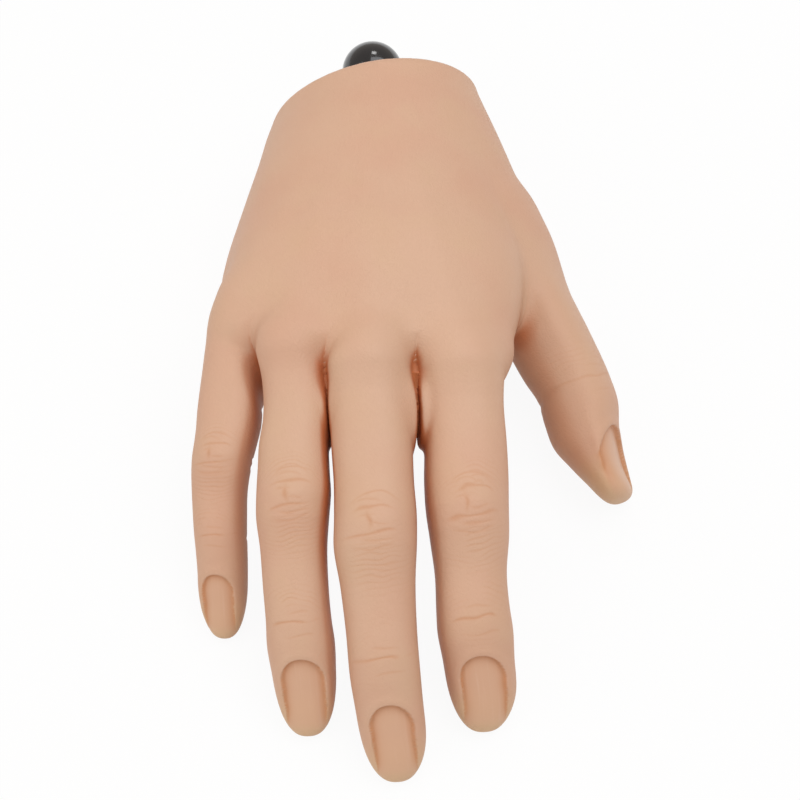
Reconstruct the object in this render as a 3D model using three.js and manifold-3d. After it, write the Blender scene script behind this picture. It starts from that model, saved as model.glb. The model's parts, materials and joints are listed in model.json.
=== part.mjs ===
// Practice hand for nail work: a right hand in soft silicone over a jointed frame.
// Millimetres, +Z up. The fingers point along -Y, the wrist is at +Y and the thumb at +X.
// The hand lies palm down on the surface Z = 0 and stands on its heel and its finger tips.
import * as THREE from "three";
import { mergeVertices } from "three/addons/utils/BufferGeometryUtils.js";
import Module from "manifold-3d";

const wasm = await Module();
wasm.setup();

// Clearances
const PART_GAP = 0.3; // between two rigid pieces, and between two skins face to face
const SKIN_GAP = 0.4; // between a skin's hollow and the frame inside it

// Round pieces and lofts
const RING_SIDES = 16; // sides of a finger's section
const PALM_SIDES = 28; // sides of the palm's section
const PIN_SIDES = 8;
const EYE_SIDES = 12;
const BALL_SIDES = 24;
const RING_STEP = 5; // spacing of a finger's sections along its length
const TIP_STEPS = 5; // sections over a limb's rounded end
const ROOT_STEPS = 3; // sections over a limb's domed root
const CAP_START = 0.35; // the first section's place in its step, which leaves a small flat
const SECTION_POWER = 2.25; // 2 is an ellipse, more is squarer
const BEND_EASE = 4; // length over which a digit's centre line rounds a hinge
const FAR = 400; // reach of a cutting block
const MERGE_LIMIT = 1e-4; // points nearer than this are one
const CUT_PAST = 1; // a hole's cutter runs on this far past the face
const FORK_REACH = { length: 3, height: 4, hole: 2 }; // cutters' sizes as shares of a hinge's

// Hinge sizes: radius of the eye's fork, width over the fork, thickness of the eye, pin radius
const KNUCKLE_HINGE = { radius: 4.0, width: 9.6, eye: 4.0, pin: 1.4 };
const MID_HINGE = { radius: 3.7, width: 8.6, eye: 3.6, pin: 1.2 };
const END_HINGE = { radius: 3.1, width: 7.2, eye: 3.0, pin: 1.0 };
const SMALL_MID_HINGE = { radius: 3.3, width: 7.6, eye: 3.2, pin: 1.0 };
const SMALL_END_HINGE = { radius: 2.8, width: 6.6, eye: 2.8, pin: 0.9 };
const BAR_SHARE = 0.8; // a bar's height against its hinge's diameter
const CORE_STOP = 9; // from the core's end to the end of the finger

// Where a finger's skin is parted, measured along the finger from its hinges
const HINGE_BEHIND_WEB = 2; // the knuckle hinge lies this far inside the palm's edge
const KNUCKLE_SWING = [-10, 0, 25]; // the first link's turns, in degrees, that the palm leaves free
const MID_LAP = 8.5; // the middle skin starts this far before the mid hinge

// The palm: from the wrist's cut to the webs, across the knuckles, and from back to underside.
const PALM_LENGTH = 87.5;
const PALM_WIDTH = 70;
const PALM_THICKNESS = 50;

// A digit lies in one plane, square to its hinge axes.
// knuckle: its first hinge's place in the palm, as shares across, along and up.
// heading: the plane's turn to the thumb side. roll: the back's turn about the digit.
// lean: the digit's mean slope down from the horizontal.
// spans and slopes: root to knuckle hinge, then hinge to hinge, then last hinge to tip.
// half: half widths at the root, web, mid hinge, mid span, end hinge and nail.
// rise and fall: the back's and the pad's height at those places, as shares of the half width.
// parting: from the mid hinge on to where the tip skin starts.
const FINGER_RISE = [1.0, 0.95, 0.93, 0.9, 0.88, 0.78];
const FINGER_FALL = [1.0, 0.95, 0.95, 0.95, 0.98, 0.85];
const FINGERS = {
  index: {
    knuckle: [0.2842, 1.0713, 0.6943],
    heading: 3.4,
    roll: 3,
    lean: 22,
    spans: [17.5, 23.5, 23.5, 25.5],
    slopes: [8, 8, 24, 36],
    half: [11.0, 8.9, 9.0, 7.9, 7.9, 7.6],
    mid: MID_HINGE,
    end: END_HINGE,
    parting: 12.6,
  },
  middle: {
    knuckle: [-0.0181, 1.0694, 0.7712],
    heading: 4.2,
    roll: -3,
    lean: 22,
    spans: [15.5, 29.5, 28, 27.5],
    slopes: [8, 8, 24, 36],
    half: [11.0, 8.6, 8.8, 8.0, 7.6, 7.5],
    mid: MID_HINGE,
    end: END_HINGE,
    parting: 14.6,
  },
  ring: {
    knuckle: [-0.2585, 1.0079, 0.7383],
    heading: 2.5,
    roll: -4,
    lean: 22,
    spans: [14.5, 27.5, 26.5, 25.5],
    slopes: [8, 8, 25, 36],
    half: [10.4, 7.4, 8.0, 7.1, 7.1, 7.0],
    mid: MID_HINGE,
    end: END_HINGE,
    parting: 13.8,
  },
  little: {
    knuckle: [-0.458, 0.9474, 0.5944],
    heading: -2.2,
    roll: -14,
    lean: 22,
    spans: [19.5, 19.5, 17, 23.5],
    slopes: [8, 8, 26, 36],
    half: [7.4, 7.2, 7.0, 6.2, 5.9, 5.7],
    mid: SMALL_MID_HINGE,
    end: SMALL_END_HINGE,
    parting: 9.2,
  },
};

// The thumb lies on its side and has one hinge less.
const THUMB = {
  knuckle: [0.5632, 0.6248, 0.3849],
  heading: 18.5,
  roll: 68,
  lean: 10.5,
  spans: [30, 25.2, 27.8],
  slopes: [4.5, 10, 12],
  half: [13.5, 11.0, 9.6, 9.2, 9.0],
  rise: [0.62, 0.70, 0.86, 0.72, 0.68],
  fall: [0.95, 0.98, 0.92, 0.86, 0.72],
  end: MID_HINGE,
  parting: 9.2, // the tip skin starts this far before the end hinge
};
const TIP_ROUND = 16; // length over which a limb's end narrows
const ROOT_ROUND = 9; // and its root

// Palm sections from the wrist to the webs, as shares of its length, width and thickness: place,
// edge of the little side, edge of the thumb side, back and underside. Then the turn in degrees,
// and the squareness. The front is domed.
const PALM = [
  { at: 0.000, low: -0.312, high: 0.320, top: 0.765, bottom: 0.145, turn: 7, power: 1.85 },
  { at: 0.012, low: -0.328, high: 0.337, top: 0.788, bottom: 0.122, turn: 7, power: 1.85 },
  { at: 0.034, low: -0.342, high: 0.350, top: 0.800, bottom: 0.113, turn: 7, power: 1.9 },
  { at: 0.171, low: -0.370, high: 0.382, top: 0.836, bottom: 0.098, turn: 5, power: 2.05 },
  { at: 0.331, low: -0.404, high: 0.427, top: 0.871, bottom: 0.098, turn: 2, power: 2.2 },
  { at: 0.491, low: -0.432, high: 0.457, top: 0.917, bottom: 0.148, turn: -1, power: 2.3 },
  { at: 0.651, low: -0.458, high: 0.463, top: 0.960, bottom: 0.266, turn: -4, power: 2.4 },
  { at: 0.800, low: -0.500, high: 0.460, top: 0.972, bottom: 0.386, turn: -8, power: 2.4 },
  { at: 0.880, low: -0.470, high: 0.430, top: 0.946, bottom: 0.414, turn: -8, power: 2.4 },
  { at: 0.950, low: -0.370, high: 0.330, top: 0.870, bottom: 0.488, turn: -8, power: 2.4 },
  { at: 0.990, low: -0.220, high: 0.180, top: 0.767, bottom: 0.588, turn: -8, power: 2.4 },
];

// The two pads of the heel, under the little side and at the root of the thumb.
// Their points are places in the palm as the sections give them: across, along and up.
const PADS = [
  {
    points: [
      [-0.149, 0.057, 0.340],
      [-0.206, 0.286, 0.270],
      [-0.291, 0.537, 0.340],
      [-0.349, 0.811, 0.540],
    ],
    half: [11.6, 13.4, 13.4, 11.6],
    rise: [0.96, 0.96, 0.96, 0.96],
    fall: [0.92, 0.87, 0.94, 0.96],
  },
  {
    points: [
      [0.136, 0.011, 0.400],
      [0.264, 0.217, 0.350],
      [0.371, 0.423, 0.340],
      [0.529, 0.651, 0.340],
    ],
    half: [9.9, 11.6, 12, 10.3],
    rise: [1.26, 1.36, 1.25, 1.03],
    fall: [1.16, 1.22, 1.18, 1.03],
  },
];

// Wrist: a plug closes the cut end, held by two screws, and carries the ball stud.
const WRIST = { height: 23.0, turn: 7 };
const PLUG = { halfWidth: 19.4, halfHeight: 12.6, depth: 6, power: 2.2, sides: 32 };
const HUB = { width: 33, length: 15, height: 19 };
const BALL = { radius: 7.6, reach: 10.6, shank: 4.0, depth: 17 };
const NUT = { across: 6.4, thickness: 2.2, corners: 6, sunk: 0.2 }; // across: to its corners
const SCREW = { head: 3.2, headDepth: 1.8, shank: 1.6, length: 14, offset: 13.5 };

const REST_TILT = 2.3; // degrees that bring the finger ends down to the surface

// Frame in the palm: bars from the hub to the hinges, tied by a cross bar
const BAR = { width: 8.4, height: 6.4, block: 9, lap: 2 };
const CROSS_BAR = { width: 6, height: 4.6, back: 0.22 }; // back: its share of the way to the hub

const rad = THREE.MathUtils.degToRad;
const material = (color, roughness, metalness = 0) =>
  new THREE.MeshStandardMaterial({ color, roughness, metalness });
const SKIN = material(0xd9b096, 0.5);
const FRAME = material(0xdedbd2, 0.45);
const LINK = material(0x8d9196, 0.4);
const STEEL = material(0xb9bcc0, 0.3, 1);
const BLACK = material(0x151417, 0.12);
const PLUG_BLACK = material(0x24242a, 0.45);

// A closed geometry as a solid that can be cut and joined.
function solid(geometry, matrix) {
  const plain = geometry.index ? geometry.toNonIndexed() : geometry.clone();
  plain.deleteAttribute("normal");
  plain.deleteAttribute("uv");
  if (matrix) plain.applyMatrix4(matrix);
  const merged = mergeVertices(plain, MERGE_LIMIT);
  return new wasm.Manifold(
    new wasm.Mesh({
      numProp: 3,
      vertProperties: new Float32Array(merged.attributes.position.array),
      triVerts: new Uint32Array(merged.index.array),
    }),
  );
}

// A solid made in its own frame, moved to its place.
function placed(shape, matrix) {
  const { vertProperties, triVerts } = shape.getMesh();
  const geometry = new THREE.BufferGeometry();
  geometry.setAttribute("position", new THREE.BufferAttribute(vertProperties, 3));
  geometry.setIndex(new THREE.BufferAttribute(triVerts, 1));
  return solid(geometry, matrix);
}

function joinAll(solids) {
  return solids.reduce((joined, next) => joined.add(next));
}

function toMesh(name, shape, look) {
  const { vertProperties, triVerts } = shape.getMesh();
  const geometry = new THREE.BufferGeometry();
  geometry.setAttribute("position", new THREE.BufferAttribute(vertProperties, 3));
  geometry.setIndex(new THREE.BufferAttribute(triVerts, 1));
  geometry.computeVertexNormals();
  const mesh = new THREE.Mesh(geometry, look);
  mesh.name = name;
  return mesh;
}

// A closed skin through rings of points, with a flat fan on each end.
function loft(rings) {
  const sides = rings[0].length;
  const points = rings.flat();
  const faces = [];
  for (let i = 0; i + 1 < rings.length; i += 1) {
    for (let k = 0; k < sides; k += 1) {
      const a = i * sides + k;
      const b = i * sides + ((k + 1) % sides);
      faces.push(a, b, b + sides, a, b + sides, a + sides);
    }
  }
  const middle = (ring) =>
    ring.reduce((sum, p) => sum.add(p), new THREE.Vector3()).divideScalar(sides);
  const first = points.push(middle(rings[0])) - 1;
  const last = points.push(middle(rings[rings.length - 1])) - 1;
  const lastRing = (rings.length - 1) * sides;
  for (let k = 0; k < sides; k += 1) {
    const next = (k + 1) % sides;
    faces.push(first, next, k, last, lastRing + k, lastRing + next);
  }
  const geometry = new THREE.BufferGeometry().setFromPoints(points);
  geometry.setIndex(faces);
  return geometry;
}

// One section: half width across, height up and height down, squared off by the power.
function section(centre, across, up, sizes, sides, power) {
  const ring = [];
  for (let k = 0; k < sides; k += 1) {
    const angle = (2 * Math.PI * k) / sides;
    const c = Math.cos(angle);
    const s = Math.sin(angle);
    const x = Math.sign(c) * Math.abs(c) ** (2 / power) * sizes.half;
    const height = s > 0 ? sizes.up : sizes.down;
    const z = Math.sign(s) * Math.abs(s) ** (2 / power) * height;
    ring.push(centre.clone().addScaledVector(across, x).addScaledVector(up, z));
  }
  return ring;
}

// A block that fills one side of a plane, away from the given direction.
function before(point, direction) {
  const box = new THREE.BoxGeometry(FAR, FAR, FAR);
  const turn = new THREE.Quaternion().setFromUnitVectors(
    new THREE.Vector3(0, -1, 0),
    direction.clone().normalize(),
  );
  const centre = point.clone().addScaledVector(direction.clone().normalize(), -FAR / 2);
  return solid(box, new THREE.Matrix4().compose(centre, turn, new THREE.Vector3(1, 1, 1)));
}

// A box given by its sizes and the place of its middle along Y.
function block(width, length, height, y = 0) {
  const box = new THREE.BoxGeometry(width, length, height);
  return solid(box, new THREE.Matrix4().makeTranslation(0, y, 0));
}

// A round bar along X.
function roller(radius, width, y = 0, sides = EYE_SIDES) {
  const bar = new THREE.CylinderGeometry(radius, radius, width, sides);
  bar.rotateZ(Math.PI / 2);
  return solid(bar, new THREE.Matrix4().makeTranslation(0, y, 0));
}

// A chain of points with a smooth centre line; its hinge axes all lie along one direction.
function makeChain(points, across) {
  const starts = [0];
  for (let i = 1; i < points.length; i += 1) {
    starts.push(starts[i - 1] + points[i].distanceTo(points[i - 1]));
  }
  const onLine = (s) => {
    let i = 0;
    while (i < points.length - 2 && s > starts[i + 1]) i += 1;
    const t = (s - starts[i]) / (starts[i + 1] - starts[i]);
    return points[i].clone().lerp(points[i + 1], t);
  };
  const eased = (s) => onLine(s - BEND_EASE).lerp(onLine(s + BEND_EASE), 0.5);
  const centre = (s) => onLine(s).lerp(eased(s), 0.5);
  const along = (s) => onLine(s + BEND_EASE).sub(onLine(s - BEND_EASE)).normalize();
  const upFrom = (direction) => new THREE.Vector3().crossVectors(direction, across).normalize();
  // Local frame at a hinge: X across, -Y towards the next point, Z to the back of the digit.
  const frameAt = (i) => {
    const direction = points[i + 1].clone().sub(points[i]).normalize();
    return new THREE.Matrix4()
      .makeBasis(across, direction.clone().negate(), upFrom(direction))
      .setPosition(points[i]);
  };
  return { points, starts, across, centre, along, upFrom, frameAt, length: starts.at(-1) };
}

// A place in the palm, from its shares across, along and up. The wrist's middle is at X = Y = 0.
function palmPoint([across, along, up]) {
  return new THREE.Vector3(across * PALM_WIDTH, -along * PALM_LENGTH, up * PALM_THICKNESS);
}

function digitChain({ knuckle, heading, roll, lean, spans, slopes }) {
  const turn = new THREE.Matrix4().makeRotationZ(rad(heading));
  turn.multiply(new THREE.Matrix4().makeRotationX(rad(lean)));
  turn.multiply(new THREE.Matrix4().makeRotationY(rad(roll)));
  const across = new THREE.Vector3(1, 0, 0).applyMatrix4(turn);
  const step = (i) => {
    const bend = rad(slopes[i] - lean);
    const way = new THREE.Vector3(0, -Math.cos(bend), -Math.sin(bend));
    return way.multiplyScalar(spans[i]).applyMatrix4(turn);
  };
  const hinge = palmPoint(knuckle);
  const points = [hinge.clone().sub(step(0)), hinge];
  for (let i = 1; i < spans.length; i += 1) points.push(points[i].clone().add(step(i)));
  return makeChain(points, across);
}

// Reads a value from a list of places by smooth steps.
function readAt(places, values, s) {
  let i = 0;
  while (i < places.length - 2 && s > places[i + 1]) i += 1;
  const t = THREE.MathUtils.smoothstep(s, places[i], places[i + 1]);
  return THREE.MathUtils.lerp(values[i], values[i + 1], t);
}

// How far a section is drawn in near a rounded end.
function narrowing(fromEnd, round) {
  const over = Math.max(0, 1 - fromEnd / round);
  return Math.sqrt(1 - over * over);
}

// A limb round a chain, with a domed root and a rounded end.
function limbBody(chain, { places, half, rise, fall }, grow = 0) {
  const end = chain.length;
  const domed = (round, steps) =>
    Array.from({ length: steps }, (_, i) => {
      const turn = (Math.PI / 2) * ((i + CAP_START) / steps);
      return round * (1 - Math.cos(turn));
    });
  const fromRoot = domed(ROOT_ROUND, ROOT_STEPS);
  const fromTip = domed(TIP_ROUND, TIP_STEPS).map((s) => end - s);
  const straight = end - TIP_ROUND - ROOT_ROUND;
  const steps = Math.ceil(straight / RING_STEP);
  const between = Array.from({ length: steps + 1 }, (_, i) => ROOT_ROUND + (straight * i) / steps);
  const rings = [...fromRoot, ...between, ...fromTip.reverse()].map((s) => {
    const width = readAt(places, half, s) + grow;
    const narrow = narrowing(s, ROOT_ROUND) * narrowing(end - s, TIP_ROUND);
    const up = chain.upFrom(chain.along(s));
    const sizes = {
      half: width * narrow,
      up: width * readAt(places, rise, s) * narrow,
      down: width * readAt(places, fall, s) * narrow,
    };
    return section(chain.centre(s), chain.across, up, sizes, RING_SIDES, SECTION_POWER);
  });
  return solid(loft(rings));
}

// A link's outline with no slot or hole, grown on every side: what the skin must leave free.
function linkRoom(length, near, far, grow) {
  const height = 2 * near.radius * BAR_SHARE + 2 * grow;
  const width = near.width + 2 * grow;
  const pieces = [
    roller(near.radius + grow, width),
    block(width, length + grow, height, -(length + grow) / 2),
  ];
  if (far) pieces.push(roller(far.radius + grow, far.width + 2 * grow, -length));
  return joinAll(pieces);
}

// The gap in a fork that takes the next link's eye.
function forkSlot(y, hinge) {
  const back = hinge.radius + PART_GAP;
  const length = FORK_REACH.length * hinge.radius;
  const height = FORK_REACH.height * hinge.radius;
  return block(hinge.eye + 2 * PART_GAP, length, height, y + back - length / 2);
}

function pinHole(y, hinge) {
  return roller(hinge.pin + PART_GAP, FORK_REACH.hole * hinge.width, y, PIN_SIDES);
}

// One link: an eye on its own hinge and, unless it is the last, a fork for the next hinge.
function link(length, near, far) {
  const height = 2 * near.radius * BAR_SHARE;
  const shoulder = near.radius + PART_GAP;
  const width = far ? far.width : near.width;
  const tongue = shoulder + PART_GAP;
  const bar = length - shoulder;
  const pieces = [
    roller(near.radius - PART_GAP, near.eye),
    block(near.eye, tongue, height, -tongue / 2),
    block(width, bar, height, -shoulder - bar / 2),
  ];
  if (far) pieces.push(roller(far.radius, far.width, -length));
  const shape = joinAll(pieces).subtract(pinHole(0, near));
  return far ? shape.subtract(forkSlot(-length, far)).subtract(pinHole(-length, far)) : shape;
}

// Every digit: hinge frames, outside and rooms. The palm takes its forks from these.
const digits = {};
for (const [name, finger] of Object.entries(FINGERS)) {
  const chain = digitChain(finger);
  const [root, knuckle, mid, end, tip] = chain.starts;
  const web = knuckle + HINGE_BEHIND_WEB;
  const places = [root, web, mid, (mid + end) / 2, end, tip - TIP_ROUND / 2];
  const sizes = { places, half: finger.half, rise: FINGER_RISE, fall: FINGER_FALL };
  digits[name] = {
    chain,
    web,
    cuts: [web, mid - MID_LAP, mid + finger.parting],
    hinges: [KNUCKLE_HINGE, finger.mid, finger.end],
    body: limbBody(chain, sizes),
    around: limbBody(chain, sizes, PART_GAP),
    spans: [finger.spans[1], finger.spans[2], finger.spans[3] - CORE_STOP],
    words: ["knuckle", "mid", "end"],
    links: ["proximal_link", "middle_link", "tip_core"],
    skins: ["root_skin", "middle_skin", "tip_skin"],
  };
}
{
  const chain = digitChain(THUMB);
  const [root, knuckle, end, tip] = chain.starts;
  const web = knuckle + HINGE_BEHIND_WEB;
  const places = [root, web, end, (end + tip) / 2, tip];
  const { half, rise, fall } = THUMB;
  const sizes = { places, half, rise, fall };
  digits.thumb = {
    chain,
    web,
    cuts: [web, end - THUMB.parting],
    hinges: [KNUCKLE_HINGE, THUMB.end],
    body: limbBody(chain, sizes),
    around: limbBody(chain, sizes, PART_GAP),
    spans: [THUMB.spans[1], THUMB.spans[2] - CORE_STOP],
    words: ["knuckle", "end"],
    links: ["proximal_link", "tip_core"],
    skins: ["root_skin", "tip_skin"],
  };
}

// Wrist frame: +Y points out of the cut end.
const wristFrame = new THREE.Matrix4()
  .makeTranslation(0, 0, WRIST.height)
  .multiply(new THREE.Matrix4().makeRotationZ(rad(WRIST.turn)));
const wristPoint = (x, y, z) => new THREE.Vector3(x, y, z).applyMatrix4(wristFrame);
const hubCentre = wristPoint(0, -PLUG.depth - PART_GAP - HUB.length / 2, 0);

function bar(from, to, width, height, grow) {
  const direction = to.clone().sub(from);
  const length = direction.length() + 2 * grow;
  const y = direction.clone().normalize().negate();
  const x = new THREE.Vector3().crossVectors(y, new THREE.Vector3(0, 0, 1)).normalize();
  const z = new THREE.Vector3().crossVectors(x, y);
  const middle = from.clone().add(to).multiplyScalar(0.5);
  const matrix = new THREE.Matrix4().makeBasis(x, y, z).setPosition(middle);
  return placed(block(width + 2 * grow, length, height + 2 * grow), matrix);
}

// The palm frame's outline: hub, bars, fork blocks and cross bar, grown for the skin's hollow.
function palmFrameBody(grow) {
  const inHub = new THREE.Matrix4().copy(wristFrame).setPosition(hubCentre);
  const sizes = [HUB.width, HUB.length, HUB.height].map((size) => size + 2 * grow);
  const pieces = [placed(block(...sizes), inHub)];
  const ties = [];
  for (const [name, digit] of Object.entries(digits)) {
    const frame = digit.chain.frameAt(1);
    const hinge = digit.hinges[0];
    const height = 2 * hinge.radius * BAR_SHARE + 2 * grow;
    const width = hinge.width + 2 * grow;
    const eye = roller(hinge.radius + grow, width);
    const stem = block(width, BAR.block + 2 * grow, height, BAR.block / 2);
    pieces.push(placed(eye.add(stem), frame));
    const joint = new THREE.Vector3(0, BAR.block - BAR.lap, 0).applyMatrix4(frame);
    pieces.push(bar(hubCentre, joint, BAR.width, BAR.height, grow));
    if (name !== "thumb") ties.push(joint.clone().lerp(hubCentre, CROSS_BAR.back));
  }
  for (let i = 0; i + 1 < ties.length; i += 1) {
    pieces.push(bar(ties[i], ties[i + 1], CROSS_BAR.width, CROSS_BAR.height, grow));
  }
  return joinAll(pieces);
}

function palmCore() {
  let shape = palmFrameBody(0);
  for (const digit of Object.values(digits)) {
    const frame = digit.chain.frameAt(1);
    const hinge = digit.hinges[0];
    shape = shape.subtract(placed(forkSlot(0, hinge).add(pinHole(0, hinge)), frame));
  }
  const bore = wristTube(BALL.shank + PART_GAP, -BALL.depth - PART_GAP, 0);
  shape = shape.subtract(bore);
  for (const side of [-1, 1]) {
    const room = wristTube(SCREW.shank + PART_GAP, -SCREW.length - PART_GAP, 0, side);
    shape = shape.subtract(room);
  }
  return shape;
}

// A round bar along the wrist's axis between two depths, at a screw's offset if side is given.
function wristTube(radius, from, to, side = 0, sides = EYE_SIDES) {
  const local = new THREE.Matrix4().makeTranslation(side * SCREW.offset, (from + to) / 2, 0);
  const bar = new THREE.CylinderGeometry(radius, radius, to - from, sides);
  return solid(bar, wristFrame.clone().multiply(local));
}

// The plug is a flat oval; grown, it is the skin's seat for it.
function plugBody(grow) {
  const across = wristPoint(1, 0, 0).sub(wristPoint(0, 0, 0));
  const up = new THREE.Vector3(0, 0, 1);
  const sizes = {
    half: PLUG.halfWidth + grow,
    up: PLUG.halfHeight + grow,
    down: PLUG.halfHeight + grow,
  };
  const depths = [-PLUG.depth - grow, grow > 0 ? PLUG.depth : 0];
  const rings = depths.map((depth) =>
    section(wristPoint(0, depth, 0), across, up, sizes, PLUG.sides, PLUG.power).reverse(),
  );
  return solid(loft(rings));
}

function wristPlug() {
  const under = -PLUG.depth - CUT_PAST;
  const seat = -SCREW.headDepth - PART_GAP;
  let shape = plugBody(0).subtract(wristTube(BALL.shank + PART_GAP, under, CUT_PAST));
  for (const side of [-1, 1]) {
    shape = shape.subtract(wristTube(SCREW.shank + PART_GAP, under, CUT_PAST, side));
    shape = shape.subtract(wristTube(SCREW.head + PART_GAP, seat, CUT_PAST, side));
  }
  const nutSeat = -NUT.sunk - NUT.thickness - PART_GAP;
  return shape.subtract(wristTube(NUT.across + PART_GAP, nutSeat, CUT_PAST));
}

function screw(side) {
  const head = wristTube(SCREW.head, -SCREW.headDepth, 0, side);
  const shank = wristTube(SCREW.shank, -SCREW.length, -SCREW.headDepth / 2, side);
  return head.add(shank);
}

function ballStud() {
  const reach = Math.sqrt(BALL.radius ** 2 - BALL.shank ** 2);
  const start = Math.atan2(BALL.shank, -reach);
  const profile = [new THREE.Vector2(0, -BALL.depth)];
  profile.push(new THREE.Vector2(BALL.shank, -BALL.depth));
  for (let i = 0; i <= BALL_SIDES / 2; i += 1) {
    const angle = start * (1 - (2 * i) / BALL_SIDES);
    const x = BALL.radius * Math.sin(angle);
    const y = BALL.reach + BALL.radius * Math.cos(angle);
    profile.push(new THREE.Vector2(Math.max(0, x), y));
  }
  return solid(new THREE.LatheGeometry(profile, BALL_SIDES), wristFrame);
}

// The nut on the stud, sunk in the plug's face.
function lockNut() {
  const from = -NUT.sunk - NUT.thickness;
  const body = wristTube(NUT.across, from, -NUT.sunk, 0, NUT.corners);
  return body.subtract(wristTube(BALL.shank + PART_GAP, from - CUT_PAST, CUT_PAST));
}

// The palm's side of a digit's parting at the web.
function palmSide({ chain, web }) {
  const along = chain.along(web);
  return before(chain.centre(web).addScaledVector(along, -PART_GAP / 2), along);
}

// The palm: sections from the wrist to the webs, the digit roots, and the heel's two pads,
// with room left for the digits beyond the webs.
function palmOutside() {
  const rings = PALM.map((ring) => {
    const turn = new THREE.Matrix4().makeRotationZ(rad(ring.turn));
    const across = new THREE.Vector3(1, 0, 0).applyMatrix4(turn);
    const middle = (ring.top + ring.bottom) / 2;
    const centre = palmPoint([(ring.low + ring.high) / 2, ring.at, middle]);
    const sizes = {
      half: (PALM_WIDTH * (ring.high - ring.low)) / 2,
      up: PALM_THICKNESS * (ring.top - middle),
      down: PALM_THICKNESS * (middle - ring.bottom),
    };
    const up = new THREE.Vector3(0, 0, 1);
    return section(centre, across, up, sizes, PALM_SIDES, ring.power);
  });
  const pads = PADS.map(({ points, half, rise, fall }) => {
    const chain = makeChain(
      points.map(palmPoint),
      new THREE.Vector3(1, 0, 0),
    );
    const places = chain.starts;
    return limbBody(chain, { places, half, rise, fall });
  });
  const roots = Object.values(digits).map((digit) => digit.body.intersect(palmSide(digit)));
  const [heel, ball] = pads;
  const thumbBall = ball.intersect(palmSide(digits.thumb));
  const whole = joinAll([solid(loft(rings)), heel, thumbBall, ...roots]);
  const digitRoom = (digit) => digit.around.subtract(palmSide(digit));
  return Object.values(digits).reduce((left, digit) => left.subtract(digitRoom(digit)), whole);
}

// The room that a digit's first link needs over its whole swing.
function swingRoom({ chain, hinges, spans }) {
  const room = linkRoom(spans[0], hinges[0], hinges[1], SKIN_GAP);
  const turned = (angle) => chain.frameAt(1).multiply(new THREE.Matrix4().makeRotationX(rad(angle)));
  return joinAll(KNUCKLE_SWING.map((angle) => placed(room, turned(angle))));
}

function palmSkin() {
  const rooms = Object.values(digits).map(swingRoom);
  return [palmFrameBody(SKIN_GAP), plugBody(SKIN_GAP), ...rooms].reduce(
    (left, room) => left.subtract(room),
    palmOutside(),
  );
}

// A digit's skin between two partings, hollowed for the frame inside it.
function digitSkin(digit, from, to, rooms) {
  const { chain } = digit;
  let shape = digit.body;
  if (to !== null) {
    const limit = chain.centre(to).addScaledVector(chain.along(to), -PART_GAP / 2);
    shape = shape.intersect(before(limit, chain.along(to)));
  }
  const start = chain.centre(from).addScaledVector(chain.along(from), PART_GAP / 2);
  shape = shape.subtract(before(start, chain.along(from)));
  return rooms.reduce((left, room) => left.subtract(room), shape);
}

// One digit: at each hinge a group holds the pin and the link that turns on it.
function buildDigit(name, digit) {
  const group = new THREE.Group();
  const { hinges, spans, cuts } = digit;
  const frames = hinges.map((hinge, i) => digit.chain.frameAt(i + 1));
  const rooms = frames.map((frame, i) =>
    placed(linkRoom(spans[i], hinges[i], hinges[i + 1], SKIN_GAP), frame),
  );
  const { radius, width } = hinges[0];
  rooms.unshift(placed(roller(radius + SKIN_GAP, width + 2 * SKIN_GAP), frames[0]));
  hinges.forEach((hinge, i) => {
    const joint = new THREE.Group();
    joint.applyMatrix4(frames[i]);
    const pin = roller(hinge.pin, hinge.width, 0, PIN_SIDES);
    joint.add(toMesh(`${name}_${digit.words[i]}_pin`, pin, STEEL));
    const part = link(spans[i], hinge, hinges[i + 1]);
    joint.add(toMesh(`${name}_${digit.links[i]}`, part, LINK));
    const to = i + 1 < hinges.length ? cuts[i + 1] : null;
    const skin = digitSkin(digit, cuts[i], to, rooms.slice(i, i + 3));
    group.add(joint, toMesh(`${name}_${digit.skins[i]}`, skin, SKIN));
  });
  return group;
}

const hand = new THREE.Group();
hand.add(toMesh("palm_skin", palmSkin(), SKIN));
hand.add(toMesh("palm_core", palmCore(), FRAME));
hand.add(toMesh("wrist_plug", wristPlug(), PLUG_BLACK));
hand.add(toMesh("ball_stud", ballStud(), BLACK));
hand.add(toMesh("stud_lock_nut", lockNut(), STEEL));
hand.add(toMesh("plug_screw_left", screw(-1), STEEL));
hand.add(toMesh("plug_screw_right", screw(1), STEEL));
for (const [name, digit] of Object.entries(digits)) hand.add(buildDigit(name, digit));

// The hand tips forward until its finger ends rest, and the origin goes under its middle.
hand.rotation.x = rad(REST_TILT);
const extent = new THREE.Box3().setFromObject(hand, true);
const middle = extent.getCenter(new THREE.Vector3());
hand.position.set(-middle.x, -middle.y, -extent.min.z);
const practiceHand = new THREE.Group();
practiceHand.name = "practice_hand";
practiceHand.add(hand);

export default practiceHand;
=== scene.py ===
"""Looks of a nail practice hand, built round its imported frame.

The hand is one soft skin over a jointed inner frame. The skin is shaped whole, as a smooth
field that joins the palm, the heel's pads and the digits, and is then parted where the digits
bend. Lengths are in millimetres in the hand's own frame, whose wrist middle is at X = Y = 0 and
whose fingers point along -Y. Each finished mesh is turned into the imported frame's metres.
"""

from __future__ import annotations

import json
import logging
import math
from dataclasses import dataclass, fields
from enum import Enum
from typing import Sequence

import bmesh
import bpy
import numpy as np
from mathutils import Matrix, Vector
from mathutils.kdtree import KDTree

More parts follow.
